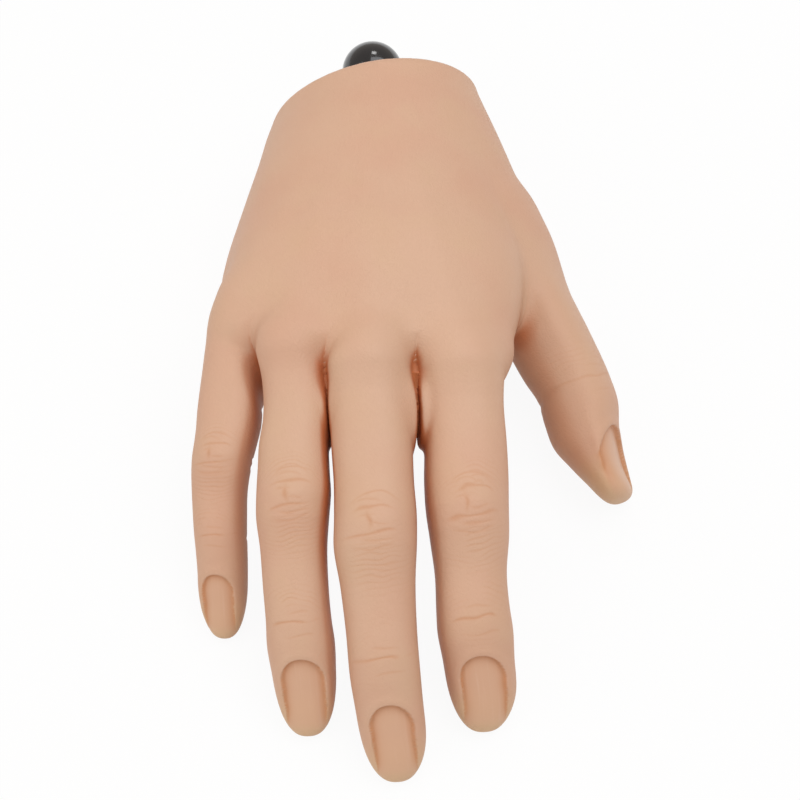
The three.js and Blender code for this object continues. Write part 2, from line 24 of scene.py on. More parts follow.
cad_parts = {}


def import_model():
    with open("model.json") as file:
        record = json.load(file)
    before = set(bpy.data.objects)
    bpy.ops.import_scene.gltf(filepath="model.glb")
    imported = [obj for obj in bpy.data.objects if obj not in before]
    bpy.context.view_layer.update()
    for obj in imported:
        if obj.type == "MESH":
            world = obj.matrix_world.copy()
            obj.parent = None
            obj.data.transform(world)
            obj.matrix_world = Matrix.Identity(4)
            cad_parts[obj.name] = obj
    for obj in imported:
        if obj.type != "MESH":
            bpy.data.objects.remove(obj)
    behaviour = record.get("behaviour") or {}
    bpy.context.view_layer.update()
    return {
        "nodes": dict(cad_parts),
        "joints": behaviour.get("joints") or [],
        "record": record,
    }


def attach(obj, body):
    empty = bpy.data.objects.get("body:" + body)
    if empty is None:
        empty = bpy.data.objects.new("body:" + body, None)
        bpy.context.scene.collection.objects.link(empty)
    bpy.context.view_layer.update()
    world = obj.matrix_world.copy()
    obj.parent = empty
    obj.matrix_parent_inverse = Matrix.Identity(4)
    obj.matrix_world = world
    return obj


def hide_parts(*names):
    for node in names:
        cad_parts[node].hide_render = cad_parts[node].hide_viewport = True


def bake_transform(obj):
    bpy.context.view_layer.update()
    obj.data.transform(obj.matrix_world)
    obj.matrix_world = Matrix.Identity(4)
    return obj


LOG = logging.getLogger("practice_hand")
MM = 0.001

Array = np.ndarray
Rows = tuple[tuple[float, ...], ...]
Tint = tuple[int, int, int]


# Numbers.


def ramp(low: float, high: float, value: Array) -> Array:
    """Steps smoothly from 0 at low to 1 at high."""
    t = np.clip((value - low) / (high - low), 0.0, 1.0)
    return t * t * (3.0 - 2.0 * t)


def smooth_min(a: Array, b: Array, reach: Array | float) -> Array:
    """Joins two distances with a fillet.

    Args:
        a: distances to one form.
        b: distances to the other.
        reach: how far apart the two may be for the fillet to act; 0 gives a sharp corner.

    Returns:
        The joined distances.
    """
    reach = np.maximum(reach, 1e-3)
    near = np.maximum(reach - np.abs(a - b), 0.0)
    return np.minimum(a, b) - near * near / (4.0 * reach)


def smooth_max(a: Array, b: Array, reach: Array | float) -> Array:
    """Keeps what two distances share, with a rounded edge."""
    return -smooth_min(-a, -b, reach)


def bell(offset: Array, width: float) -> Array:
    """A bump of height 1 that falls off over the width."""
    return np.exp(-((offset / width) ** 2))


def through(places: Sequence[float], values: Sequence[float], at: Array) -> Array:
    """Reads a smooth curve through given values.

    Args:
        places: where the values are given, in rising order.
        values: the value at each place.
        at: where to read; beyond the ends the end value holds.

    Returns:
        The value at each place read.
    """
    x, y = np.asarray(places, float), np.asarray(values, float)
    slope = np.gradient(y, x)
    slope[0] = slope[-1] = 0.0
    at = np.clip(at, x[0], x[-1])
    i = np.clip(np.searchsorted(x, at, side="right") - 1, 0, len(x) - 2)
    gap = x[i + 1] - x[i]
    t = (at - x[i]) / gap
    t2, t3 = t * t, t * t * t
    return (
        (2 * t3 - 3 * t2 + 1) * y[i]
        + (t3 - 2 * t2 + t) * gap * slope[i]
        + (3 * t2 - 2 * t3) * y[i + 1]
        + (t3 - t2) * gap * slope[i + 1]
    )


def unit(vectors: Array) -> Array:
    """Scales vectors to length 1."""
    return vectors / np.maximum(np.linalg.norm(vectors, axis=-1, keepdims=True), 1e-9)


# Hand's own frame.


@dataclass(frozen=True)
class HandFrame:
    """Places the hand's own frame, in millimetres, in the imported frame, in metres."""

    turn: Array
    offset: Array

    @classmethod
    def from_joint(cls, tilt: float, pos_m: Sequence[float], place: Sequence[float]) -> "HandFrame":
        """Finds the frame from one hinge.

        Args:
            tilt: the hand's turn about X, in degrees.
            pos_m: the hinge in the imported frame.
            place: the same hinge in the hand's own frame.

        Returns:
            The frame.
        """
        c, s = math.cos(math.radians(tilt)), math.sin(math.radians(tilt))
        turn = np.array([[1, 0, 0], [0, c, -s], [0, s, c]], float)
        return cls(turn, np.asarray(pos_m, float) / MM - turn @ np.asarray(place, float))

    def inward(self, pos_m: Sequence[float]) -> Array:
        """Turns a place in packed metres into the hand's millimetres."""
        return self.turn.T @ (np.asarray(pos_m, float) / MM - self.offset)

    def outward(self, points: Array) -> Array:
        """Turns places in the hand's millimetres into packed metres."""
        return (np.asarray(points, float) @ self.turn.T + self.offset) * MM

    def matrix(self) -> Matrix:
        """The same move as a matrix for a mesh."""
        rows = [[*(self.turn[i] * MM), self.offset[i] * MM] for i in range(3)]
        return Matrix([*rows, [0, 0, 0, 1]])


# Forms of the hand.


@dataclass(frozen=True)
class Nail:
    """The recessed bed for a practice nail."""

    base: float
    end: float
    half: float
    shift: float = 0.0
    depth: float = 1.15


@dataclass
class Reading:
    """Where points lie about a limb: signed distance, place along, offset across and height."""

    distance: Array
    place: Array
    across: Array
    height: Array
    share: Array


class Limb:
    """A rounded limb about a centre line, read as a distance field."""

    STEP, EASE, MARGIN = 1.0, 4.0, 15.0
    RINGS, RING_SIDES, RING_INSET, RING_LEAST, THIN_BAND = 28, 24, 0.6, 0.02, 4.0

    def __init__(
        self,
        points: Array,
        across: Array,
        sizes: dict[str, tuple[Sequence[float], Sequence[float]]],
        start: float = 0.0,
        root_round: float = 9.0,
        tip_round: float = 16.0,
        power: float = 2.25,
        blunt: float = 2.0,
    ) -> None:
        """Lays out the centre line.

        Args:
            points: corners of the centre line.
            across: the direction of the limb's breadth.
            sizes: half, shift, rise and fall, each as places and values.
            start: the first corner's place along the limb.
            root_round: length over which the root is domed.
            tip_round: length over which the end is domed.
            power: 2 gives elliptic sections, more squarer ones.
            blunt: 2 gives an elliptic end, more a blunter one.
        """
        self.points = np.asarray(points, float)
        gaps = np.linalg.norm(np.diff(self.points, axis=0), axis=1)
        self.starts = start + np.concatenate([[0.0], np.cumsum(gaps)])
        self.root_round, self.tip_round = root_round, tip_round
        self.power, self.blunt = power, blunt
        self.at = np.arange(self.starts[0], self.starts[-1] + self.STEP, self.STEP)
        before, after = self.on_line(self.at - self.EASE), self.on_line(self.at + self.EASE)
        self.centres = (self.on_line(self.at) + (before + after) / 2.0) / 2.0
        self.ways = unit(after - before)
        self.ups = unit(np.cross(self.ways, np.asarray(across, float)))
        self.sides = np.cross(self.ups, self.ways)
        self.sizes = {name: through(*table, self.at) for name, table in sizes.items()}
        reach = self.MARGIN + max(self.sizes["half"].max(), self.sizes["fall"].max())
        self.low, self.high = self.centres.min(0) - reach, self.centres.max(0) + reach

    def on_line(self, place: Array) -> Array:
        """Reads the cornered centre line, which runs on straight past its ends."""
        i = np.clip(np.searchsorted(self.starts, place, side="right") - 1, 0, len(self.points) - 2)
        t = (place - self.starts[i]) / (self.starts[i + 1] - self.starts[i])
        return self.points[i] + t[:, None] * (self.points[i + 1] - self.points[i])

    def frames(self, place: Array) -> tuple[Array, ...]:
        """Places kept within the limb, with the centre, way, side and up at each."""
        f = np.clip((place - self.at[0]) / self.STEP, 0, len(self.at) - 1.001)
        i = f.astype(int)
        t = (f - i)[:, None]
        tables = (self.centres, self.ways, self.sides, self.ups)
        return self.at[0] + f * self.STEP, *(a[i] * (1 - t) + a[i + 1] * t for a in tables)

    def frame_at(self, place: float) -> tuple[Array, ...]:
        """The centre, way, side and up at one place."""
        return tuple(rows[0] for rows in self.frames(np.array([place]))[1:])

    def size_at(self, name: str, place: Array) -> Array:
        """Reads one of the section's sizes."""
        return np.interp(place, self.at, self.sizes[name])

    def sizes_at(self, place: Array) -> tuple[Array, ...]:
        """The section's half breadth, rise, fall and shift."""
        return tuple(self.size_at(name, place) for name in ("half", "rise", "fall", "shift"))

    def domed(self, place: Array) -> tuple[Array, Array]:
        """How far places lie in the end's dome and in the root's."""
        past = np.maximum(place - (self.starts[-1] - self.tip_round), 0.0)
        return past, np.maximum(self.starts[0] + self.root_round - place, 0.0)

    def read(self, points: Array) -> Reading:
        """Finds where points lie about the limb.

        Args:
            points: places in the hand's frame.

        Returns:
            The reading; points far off get only a large distance.
        """
        count = len(points)
        out = Reading(*(np.zeros(count) for _ in range(5)))
        out.distance[:] = self.MARGIN
        near = np.nonzero(np.all((points > self.low) & (points < self.high), axis=1))[0]
        if not len(near):
            return out
        spot = points[near]
        reach = (self.centres**2).sum(1) - 2.0 * (
            spot.astype(np.float32) @ self.centres.T.astype(np.float32)
        )
        first = np.argmin(reach, axis=1)
        place = self.at[first] + ((spot - self.centres[first]) * self.ways[first]).sum(1)
        place, centre, way, side, up = self.frames(place)
        off = spot - centre
        place = place + (off * way).sum(1)
        half, rise, fall, shift = self.sizes_at(place)
        across, height, p = (off * side).sum(1) - shift, (off * up).sum(1), self.power
        share = height / np.where(height > 0, rise, fall)
        section = (np.abs(across / half) ** p + np.abs(share) ** p) ** (1.0 / p)
        past, short = self.domed(place)
        over = past / self.tip_round + short / self.root_round
        blunt = np.where(past > 0, self.blunt, 2.0)
        whole = np.maximum((section**blunt + over**blunt) ** (1 / blunt), 0.05)
        far = np.sqrt(across**2 + height**2 + (past + short) ** 2)
        out.distance[near] = far * (1.0 - 1.0 / whole)
        out.place[near], out.across[near] = place, across
        out.height[near], out.share[near] = height, share
        return out

    def rings(self, shrink: float, from_place: float) -> list[Array]:
        """Rings of points for a rough solid, thinner past a given place."""
        rings = []
        angle = np.linspace(0, 2 * math.pi, self.RING_SIDES, endpoint=False)
        c, s = np.cos(angle)[:, None], np.sin(angle)[:, None]
        first, last = self.starts[0] + self.RING_INSET, self.starts[-1] - self.RING_INSET
        for place in np.linspace(first, last, self.RINGS):
            centre, _, side, up = self.frame_at(place)
            past, short = self.domed(place)
            over = past / self.tip_round + short / self.root_round
            narrow = math.sqrt(max(self.RING_LEAST, 1.0 - over**2))
            band = (from_place - self.THIN_BAND, from_place + self.THIN_BAND)
            narrow *= 1.0 - (1.0 - shrink) * float(ramp(*band, place))
            half, rise, fall, shift = self.sizes_at(place)
            tall = np.where(s > 0, rise, fall)
            rings.append(centre + side * (shift + c * half * narrow) + up * s * tall * narrow)
        return rings


@dataclass(frozen=True)
class DigitSizes:
    """One digit's sizes.

    Breadths are rows of a place along the digit, half the breadth there and a shift to the
    side. Heights and depths, where a digit has its own, are rows of a place and a size. The web
    and the laps are the places of the partings, and each row of bends is where a piece bends.
    """

    name: str
    root: float
    tip: float
    tip_drop: float
    tip_round: float
    breadths: Rows
    nail: Nail
    web: float
    laps: tuple[float, ...]
    bends: Rows
    root_lift: float = 10.0
    blunt: float = 2.5
    crease_shift: float = 0.0
    rise: Rows = ()
    fall: Rows = ()
    hinges: tuple[str, ...] = ("knuckle", "mid", "end")
    pieces: tuple[str, ...] = ("root", "middle", "tip")
    bodies: tuple[str, ...] = ("proximal", "middle", "tip")


# Height of a finger's back and depth of its pad as shares of its half breadth, at: far inside
# the palm, the web, mid way, middle joint, mid way, end joint, nail base, near the tip, tip.
BACK_SHARES = (0.96, 0.96, 0.90, 0.97, 0.87, 0.90, 0.86, 0.74, 0.68)
PAD_SHARES = (0.95, 0.98, 1.02, 0.92, 1.00, 0.93, 0.97, 0.87, 0.75)

FINGERS = (
    DigitSizes(
        name="index",
        root=17.5,
        tip=25.5,
        tip_drop=12.0,
        tip_round=16.0,
        breadths=(
            *((-17.5, 10.6, -0.2), (0, 9.0, -0.3), (9, 9.1, -0.5), (17, 9.25, -1.0)),
            *((23.5, 9.05, -1.3), (30, 8.6, -1.2), (38, 7.8, -1.35), (45, 7.95, -1.3)),
            *((50, 8.2, -1.0), (57, 7.75, -0.4), (64, 7.7, 0.2), (72, 7.2, 0.3)),
        ),
        nail=Nail(base=54.2, end=70.5, half=5.0),
        web=4.0,
        laps=(15.0, 36.1),
        bends=((4.0, 15.0), (15.4, 31.6), (40.5, 53.5)),
    ),
    DigitSizes(
        name="middle",
        root=15.5,
        tip=27.5,
        tip_drop=12.0,
        tip_round=16.0,
        breadths=(
            *((-15.5, 10.6, 0.0), (0, 8.8, 0.0), (9, 9.0, 0.0), (20, 8.8, -0.05)),
            *((28, 8.95, -0.1), (33, 9.0, -0.45), (42, 8.1, -0.5), (52, 7.62, -0.4)),
            *((62, 7.55, -0.25), (69, 7.3, 0.15), (77, 7.2, 0.65), (85, 6.9, 0.8)),
        ),
        nail=Nail(base=66.7, end=83.0, half=4.75, shift=0.2),
        web=4.0,
        laps=(21.0, 44.1),
        bends=((4.0, 18.0), (21.4, 37.6), (51.0, 64.0)),
    ),
    DigitSizes(
        name="ring",
        root=14.5,
        tip=25.5,
        tip_drop=11.0,
        tip_round=14.5,
        breadths=(
            *((-14.5, 10.2, 0.3), (0, 7.7, 0.8), (9, 7.45, 0.7), (15, 7.75, 0.1)),
            *((21, 7.95, 0.0), (27, 8.2, -0.1), (31, 8.0, -0.45), (38, 7.3, -0.55)),
            *((46, 7.1, -0.45), (54, 7.1, -0.1), (59, 7.35, 0.1), (66, 6.9, 0.45)),
            (79, 6.3, 0.7),
        ),
        nail=Nail(base=61.2, end=77.5, half=4.7, shift=0.1),
        web=4.0,
        laps=(19.0, 41.3),
        bends=((4.0, 18.0), (19.4, 35.6), (47.5, 60.5)),
    ),
    DigitSizes(
        name="little",
        root=19.5,
        tip=23.5,
        tip_drop=10.0,
        tip_round=13.0,
        breadths=(
            *((-19.5, 6.3, 0.9), (-9, 7.0, 0.4), (0, 7.15, 0.1), (9, 7.3, 0.25)),
            *((15, 6.9, 0.2), (21, 6.6, -0.3), (27, 6.15, -0.6), (33, 5.95, -0.35)),
            *((40, 5.7, 0.0), (48, 5.45, 0.05), (60, 5.0, 0.0)),
        ),
        nail=Nail(base=44.8, end=58.3, half=3.7, shift=-0.1, depth=0.95),
        web=3.5,
        laps=(11.0, 28.7),
        bends=((3.5, 11.0), (11.4, 27.6), (30.5, 42.5)),
    ),
)

THUMB = DigitSizes(
    name="thumb",
    root=30.0,
    tip=27.8,
    tip_drop=0.5,
    tip_round=11.0,
    breadths=(
        *((-30, 12.7, 0), (0, 11.4, 0), (12, 10.6, 0), (18, 9.8, 0), (25, 9.5, 0)),
        *((32, 9.4, 0), (40, 8.9, 0), (47, 8.6, 0), (53, 8.5, 0)),
    ),
    rise=(
        *((-30, 8.0), (-15, 7.0), (0, 6.4), (12, 7.4), (24, 8.0)),
        *((30, 7.7), (36, 5.7), (42, 4.4), (48, 4.0), (53, 4.8)),
    ),
    fall=(
        *((-30, 13.5), (0, 12.4), (12, 11.9), (18, 11.0), (24, 9.7)),
        *((30, 10.1), (36, 10.0), (42, 7.7), (48, 5.4), (53, 4.7)),
    ),
    nail=Nail(base=36.5, end=53.0, half=6.2, shift=-2.6, depth=1.2),
    web=11.2,
    laps=(18.0,),
    bends=((11.2, 18.0), (18.2, 32.2)),
    root_lift=-5.5,
    blunt=3.0,
    crease_shift=-5.5,
    hinges=("knuckle", "end"),
    pieces=("root", "tip"),
    bodies=("proximal", "tip"),
)


class Digit:
    """A digit of the hand: its limb, hinges and partings."""

    def __init__(self, sizes: DigitSizes, joints: dict[str, dict], frame: HandFrame) -> None:
        """Lays the digit along its hinges.

        Args:
            sizes: the digit's sizes.
            joints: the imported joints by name.
            frame: the hand's own frame.
        """
        self.sizes = sizes
        own = [joints[f"{sizes.name}_{hinge}"] for hinge in sizes.hinges]
        hinges = [frame.inward(joint["pos_m"]) for joint in own]
        across = frame.turn.T @ np.asarray(own[0]["axis"], float)
        first, last = unit(hinges[1] - hinges[0]), unit(hinges[-1] - hinges[-2])
        root = hinges[0] - self.turned(first, across, sizes.root_lift) * sizes.root
        tip = hinges[-1] + self.turned(last, across, sizes.tip_drop) * sizes.tip
        gaps = np.linalg.norm(np.diff(np.array(hinges), axis=0), axis=1)
        self.hinge_places = [0.0, *np.cumsum(gaps)]
        self.end = self.hinge_places[-1] + sizes.tip
        self.limb = Limb(
            np.array([root, *hinges, tip]),
            across,
            self.tables(),
            start=-sizes.root,
            tip_round=sizes.tip_round,
            blunt=sizes.blunt,
        )
        self.bodies = ["palm", *(f"{sizes.name}_{body}" for body in sizes.bodies)]

    def tables(self) -> dict[str, tuple[Array, Array]]:
        """The limb's sizes, each as places and values."""
        sizes, end = self.sizes, self.end
        place, half, shift = np.array(sizes.breadths, float).T
        tables = {"half": (place, half), "shift": (place, shift)}
        if sizes.rise:
            tables["rise"], tables["fall"] = (
                tuple(np.array(rows, float).T) for rows in (sizes.rise, sizes.fall)
            )
            return tables
        _, mid, far = self.hinge_places
        marks = (-sizes.root, 0, mid / 2, mid, (mid + far) / 2, far, far + 9, end - 6, end)
        at = np.arange(-sizes.root, end + 1.0, 1.0)
        breadth = through(place, half, at)
        tables["rise"] = (at, breadth * through(marks, BACK_SHARES, at))
        tables["fall"] = (at, breadth * through(marks, PAD_SHARES, at))
        return tables

    @staticmethod
    def turned(way: Array, across: Array, angle: float) -> Array:
        """Turns a direction towards the pad side about the hinges' axis, in degrees."""
        up = np.cross(way, across)
        a = math.radians(angle)
        return way * math.cos(a) - up * math.sin(a)

    def cuts(self) -> list[tuple[Array, Array]]:
        """For each parting, a point on its plane and the plane's direction."""
        frames = (self.limb.frame_at(place) for place in (self.sizes.web, *self.sizes.laps))
        return [(centre, unit(way)) for centre, way, _, _ in frames]


@dataclass(frozen=True)
class PalmSection:
    """The palm's section at one place.

    It has edges, back and underside, a turn in degrees, a squareness, and a lean that lifts
    its thumb side.
    """

    at: float
    low: float
    high: float
    top: float
    bottom: float
    turn: float
    power: float
    lean: float = 0.0


@dataclass(frozen=True)
class PalmSizes:
    """The palm's main sizes and its sections as shares of them."""

    length: float = 87.5
    width: float = 70.0
    thickness: float = 50.0
    front_round: float = 17.5
    rim: float = 2.2
    sections: tuple[PalmSection, ...] = (
        PalmSection(-0.05, -0.322, 0.306, 0.780, 0.120, 7, 1.9, 0.11),
        PalmSection(0.034, -0.343, 0.326, 0.790, 0.115, 7, 1.95, 0.10),
        PalmSection(0.171, -0.370, 0.378, 0.832, 0.100, 5, 2.05, 0.04),
        PalmSection(0.331, -0.402, 0.415, 0.870, 0.100, 2, 2.2),
        PalmSection(0.491, -0.430, 0.443, 0.915, 0.150, -1, 2.3),
        PalmSection(0.651, -0.450, 0.455, 0.955, 0.266, -4, 2.4),
        PalmSection(0.800, -0.465, 0.418, 0.940, 0.386, -8, 2.4),
        PalmSection(0.880, -0.440, 0.385, 0.905, 0.430, -9, 2.4),
        PalmSection(0.950, -0.360, 0.310, 0.870, 0.470, -9, 2.4),
        PalmSection(0.990, -0.220, 0.180, 0.850, 0.500, -9, 2.4),
    )


class Palm:
    """The palm's body as a distance field."""

    STEP = 0.5
    RINGS, RING_SIDES, RING_START, RING_INSET = 22, 40, 2.0, 0.8

    def __init__(self, sizes: PalmSizes) -> None:
        """Works the sections out in millimetres."""
        self.sizes = sizes
        rows = sizes.sections
        places = [-r.at * sizes.length for r in rows][::-1]
        self.at = np.arange(places[0], places[-1] + self.STEP, self.STEP)
        tables = {
            "turn": [math.radians(r.turn) for r in rows],
            "middle": [(r.low + r.high) / 2 * sizes.width for r in rows],
            "half": [(r.high - r.low) / 2 * sizes.width for r in rows],
            "centre": [(r.top + r.bottom) / 2 * sizes.thickness for r in rows],
            "tall": [(r.top - r.bottom) / 2 * sizes.thickness for r in rows],
            "power": [r.power for r in rows],
            "lean": [r.lean for r in rows],
        }
        self.tables = {name: through(places, v[::-1], self.at) for name, v in tables.items()}
        self.front = places[0]

    def sized(self, name: str, at: Array) -> Array:
        """Reads one of the palm's sizes along it."""
        return np.interp(at, self.at, self.tables[name])

    def distance(self, points: Array) -> Array:
        """Signed distance to the palm's body, which runs on past the wrist."""
        x, y, z = points.T
        t = y
        for _ in range(3):
            t = y - np.tan(self.sized("turn", t)) * (x - self.sized("middle", t))
        across = (x - self.sized("middle", t)) / np.cos(self.sized("turn", t))
        height = z - self.sized("centre", t) - self.sized("lean", t) * across
        p = self.sized("power", t)
        wide, high = across / self.sized("half", t), height / self.sized("tall", t)
        section = (np.abs(wide) ** p + np.abs(high) ** p) ** (1 / p)
        past = np.maximum(self.front - t, 0.0)
        whole = np.maximum(np.sqrt(section**2 + (past / self.sizes.front_round) ** 2), 0.05)
        far = np.sqrt(across**2 + height**2 + past**2)
        return far * (1.0 - 1.0 / whole)

    def rings(self) -> list[Array]:
        """Rings of points for a rough solid."""
        rings = []
        angle = np.linspace(0, 2 * math.pi, self.RING_SIDES, endpoint=False)
        c, s = np.cos(angle), np.sin(angle)
        last = self.front - self.sizes.front_round + self.RING_INSET
        for y in np.linspace(self.RING_START, last, self.RINGS):
            past = max(self.front - y, 0.0) / self.sizes.front_round
            narrow = math.sqrt(max(Limb.RING_LEAST, 1.0 - past**2))
            turn, p = float(self.sized("turn", y)), float(self.sized("power", y))
            across = self.sized("half", y) * narrow * np.sign(c) * np.abs(c) ** (2 / p)
            tall = self.sized("tall", y) * narrow * np.sign(s) * np.abs(s) ** (2 / p)
            high = self.sized("centre", y) + self.sized("lean", y) * across + tall
            wide = self.sized("middle", y) + across * math.cos(turn)
            rings.append(np.stack([wide, y + across * math.sin(turn), high], axis=1))
        return rings


@dataclass(frozen=True)
class PadSizes:
    """A pad of the heel: corners of its centre line, half breadths, heights and depths."""

    points: tuple[tuple[float, float, float], ...]
    half: tuple[float, ...]
    rise: tuple[float, ...]
    fall: tuple[float, ...]


LITTLE_SIDE_PAD = PadSizes(
    points=((-10.4, -5, 17), (-14.4, -25, 13.6), (-20.4, -47, 17), (-24.4, -71, 27)),
    half=(11.4, 13.2, 13.2, 11.4),
    rise=(11, 12.6, 12.6, 11),
    fall=(10.4, 11.4, 12.4, 11),
)
THUMB_PAD = PadSizes(
    points=((9.5, -1, 20), (18.5, -19, 17.5), (26, -37, 17), (37, -57, 17)),
    half=(9.6, 10.6, 10.8, 9.6),
    rise=(12.4, 15.6, 14.8, 10.6),
    fall=(11.4, 14.0, 14.0, 10.6),
)


@dataclass(frozen=True)
class Gap:
    """The cleft between two neighbouring fingers: where its top opens and how wide it gets.

    Its web leans forward from the top height down to the low one.
    """

    left: str
    right: str
    opens: float
    width: float
    top: float = 42.0
    low: float = 0.0
    lean: float = 0.46

    def beyond(self, points: Array) -> Array:
        """How far points lie past the web, which leans forward as it goes down."""
        depth = self.top - np.maximum(points[:, 2], self.low)
        return self.opens - points[:, 1] - self.lean * depth


@dataclass(frozen=True)
class Wrist:
    """The wrist's cut end."""

    height: float = 23.0
    turn: float = 7.0

    def frame(self) -> Matrix:
        """The cut end's frame, with Y out of the wrist."""
        turn = Matrix.Rotation(math.radians(self.turn), 4, "Z")
        return Matrix.Translation((0, 0, self.height)) @ turn

    def past(self, points: Array) -> Array:
        """How far points lie past the cut."""
        a = math.radians(self.turn)
        return points[:, 1] * math.cos(a) - points[:, 0] * math.sin(a)


class HandField:
    """The whole skin as one smooth field: below 0 inside, above 0 outside."""

    SWELL = 2.4
    PALM_FILLET = 5.0
    KNUCKLE_FILLET, KNUCKLE_SPAN, FINGER_FILLET = 6.5, (-92.0, -79.0), 2.5
    WEB_FILLET, WEB_SPAN = 6.5, (-4.0, 2.0)
    VALLEY, VALLEY_WIDTH, VALLEY_START, VALLEY_END = 1.8, 5.0, (-17.0, -3.0), (9.0, 2.0)
    SHUT, OPENING = 7.5, (-8.0, 0.5)
    CLEFT_REACH, CLEFT_FALL = (3.0, 8.0), 10.0
    CLEFT_EDGE, CLEFT_START, CLEFT_START_SPAN = 1.0, 2.5, (9.0, 0.0)
    LEAST_SLOPE, LONGEST = 0.3, 1.6
    GAPS = (
        Gap("little", "ring", opens=-81.5, width=1.5, top=38.0, low=27.0, lean=0.75),
        Gap("ring", "middle", opens=-87.5, width=0.5),
        Gap("middle", "index", opens=-86.5, width=0.9),
    )

    def __init__(self, joints: dict[str, dict], frame: HandFrame) -> None:
        """Sets out palm, pads and digits.

        Args:
            joints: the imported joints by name.
            frame: the hand's own frame.
        """
        self.palm = Palm(PalmSizes())
        self.wrist = Wrist()
        self.pads = [self.pad(LITTLE_SIDE_PAD), self.pad(THUMB_PAD)]
        self.digits = {s.name: Digit(s, joints, frame) for s in (*FINGERS, THUMB)}

    @staticmethod
    def pad(sizes: PadSizes) -> Limb:
        """Makes a pad's limb."""
        points = np.array(sizes.points, float)
        gaps = np.linalg.norm(np.diff(points, axis=0), axis=1)
        at = np.concatenate([[0.0], np.cumsum(gaps)])
        tables = {name: (at, getattr(sizes, name)) for name in ("half", "rise", "fall")}
        return Limb(points, np.array([1.0, 0, 0]), {**tables, "shift": (at, 0.0 * at)})

    def readings(self, points: Array) -> dict[str, Reading]:
        """Reads every digit at the points."""
        return {name: digit.limb.read(points) for name, digit in self.digits.items()}

    def of_digit(self, readings: dict[str, Reading], name: str) -> Array:
        """Whether the named digit is the nearest one at each point read."""
        closest = np.argmin(np.stack([r.distance for r in readings.values()]), axis=0)
        return closest == list(readings).index(name)

    def value(self, points: Array) -> Array:
        """The skin's signed distance at the points."""
        base = self.palm.distance(points)
        for pad in self.pads:
            base = smooth_min(base, pad.read(points).distance, self.PALM_FILLET)
        readings = self.readings(points)
        fingers = readings["little"].distance
        clefts = []
        for gap in self.GAPS:
            left, right = readings[gap.left], readings[gap.right]
            beyond = gap.beyond(points)
            web = self.WEB_FILLET * (1 - ramp(*self.WEB_SPAN, beyond))
            fingers = smooth_min(fingers, right.distance, web)
            open_by = -self.SHUT + (self.SHUT + gap.width) * ramp(*self.OPENING, beyond)
            apart = np.abs(left.distance - right.distance)
            nearer = np.minimum(left.distance, right.distance)
            cleft = (open_by - apart) * 0.5 - self.CLEFT_FALL * ramp(*self.CLEFT_REACH, nearer)
            start = self.CLEFT_START * ramp(*self.CLEFT_START_SPAN, beyond)
            clefts.append((cleft, self.CLEFT_EDGE + start))
            back = ramp(0.0, 0.7, np.minimum(left.share, right.share))
            valley = back * ramp(*self.VALLEY_START, beyond) * ramp(*self.VALLEY_END, beyond)
            middle = bell(left.distance - right.distance, self.VALLEY_WIDTH)
            base = base + self.VALLEY * valley * middle
        fillet = self.KNUCKLE_FILLET * ramp(*self.KNUCKLE_SPAN, points[:, 1]) + self.FINGER_FILLET
        whole = smooth_min(base - self.SWELL, fingers, fillet)
        whole = smooth_min(whole, readings["thumb"].distance, self.PALM_FILLET)
        for cleft, rounding in clefts:
            whole = smooth_max(whole, cleft, rounding)
        return smooth_max(whole, self.wrist.past(points), self.palm.sizes.rim)

    def slope(self, points: Array, step: float = 0.12) -> tuple[Array, Array]:
        """The field's value and slope, from four readings round each point."""
        total, slope = np.zeros(len(points)), np.zeros_like(points)
        for corner in ((1, -1, -1), (-1, -1, 1), (-1, 1, -1), (1, 1, 1)):
            value = self.value(points + np.array(corner) * step)
            total += value / 4
            slope += value[:, None] * np.array(corner)
        return total, slope / (4 * step)

    def settle(self, points: Array, rounds: int, planes: Array | None = None) -> Array:
        """Moves points on to the skin.

        Args:
            points: places near the skin.
            rounds: how often each point is moved.
            planes: for points that stay in a plane, its direction; zero for the others.

        Returns:
            The moved points.
        """
        points = points.copy()
        for _ in range(rounds):
            value, slope = self.slope(points)
            if planes is not None:
                slope -= (slope * planes).sum(1)[:, None] * planes
            steep = np.maximum((slope**2).sum(1), self.LEAST_SLOPE)
            points -= np.clip(value / steep, -self.LONGEST, self.LONGEST)[:, None] * slope
        return points


# Details of the skin.


@dataclass(frozen=True)
class Crease:
    """A line over a joint's back.

    Places are from the joint's middle. A positive bow puts the line's middle nearer the wrist
    than its ends. A positive slant turns its thumb side towards the tip.
    """

    place: float
    across: float
    reach: float
    bow: float
    slant: float
    depth: float


@dataclass(frozen=True)
class JointLook:
    """How the skin lies over one kind of joint, drawn for a finger of a given half breadth.

    The fine lines beyond the joint are given by strength, place and length, and the folds
    under it by their places.
    """

    half: float
    rise: float
    dimple: float
    beyond: tuple[float, float, float]
    folds: tuple[float, ...]
    creases: tuple[Crease, ...]


MIDDLE_CREASES = (
    Crease(-5.2, 0.4, 5.6, 2.6, 0.00, 0.045),
    Crease(-3.8, -0.8, 3.4, 1.0, 0.02, 0.03),
    Crease(-2.4, 0.2, 5.0, 1.0, -0.02, 0.055),
    Crease(-1.0, -1.4, 2.2, 0.3, -0.06, 0.035),
    Crease(0.9, 1.2, 2.6, -0.2, 0.05, 0.035),
    Crease(2.5, -0.4, 6.8, -0.3, -0.10, 0.06),
    Crease(3.9, 0.9, 4.4, -0.7, -0.02, 0.04),
    Crease(5.4, -0.4, 5.2, -1.0, 0.02, 0.04),
)
END_CREASES = (
    Crease(-2.6, 0.6, 3.2, 0.3, 0.00, 0.03),
    Crease(-0.6, -0.3, 6.2, 0.5, -0.10, 0.065),
    Crease(2.4, 0.8, 4.2, 0.2, -0.06, 0.03),
)
MIDDLE_JOINT = JointLook(9.0, 0.3, 1.0, (1.0, 8.5, 5.5), (-1.3, 1.3), MIDDLE_CREASES)
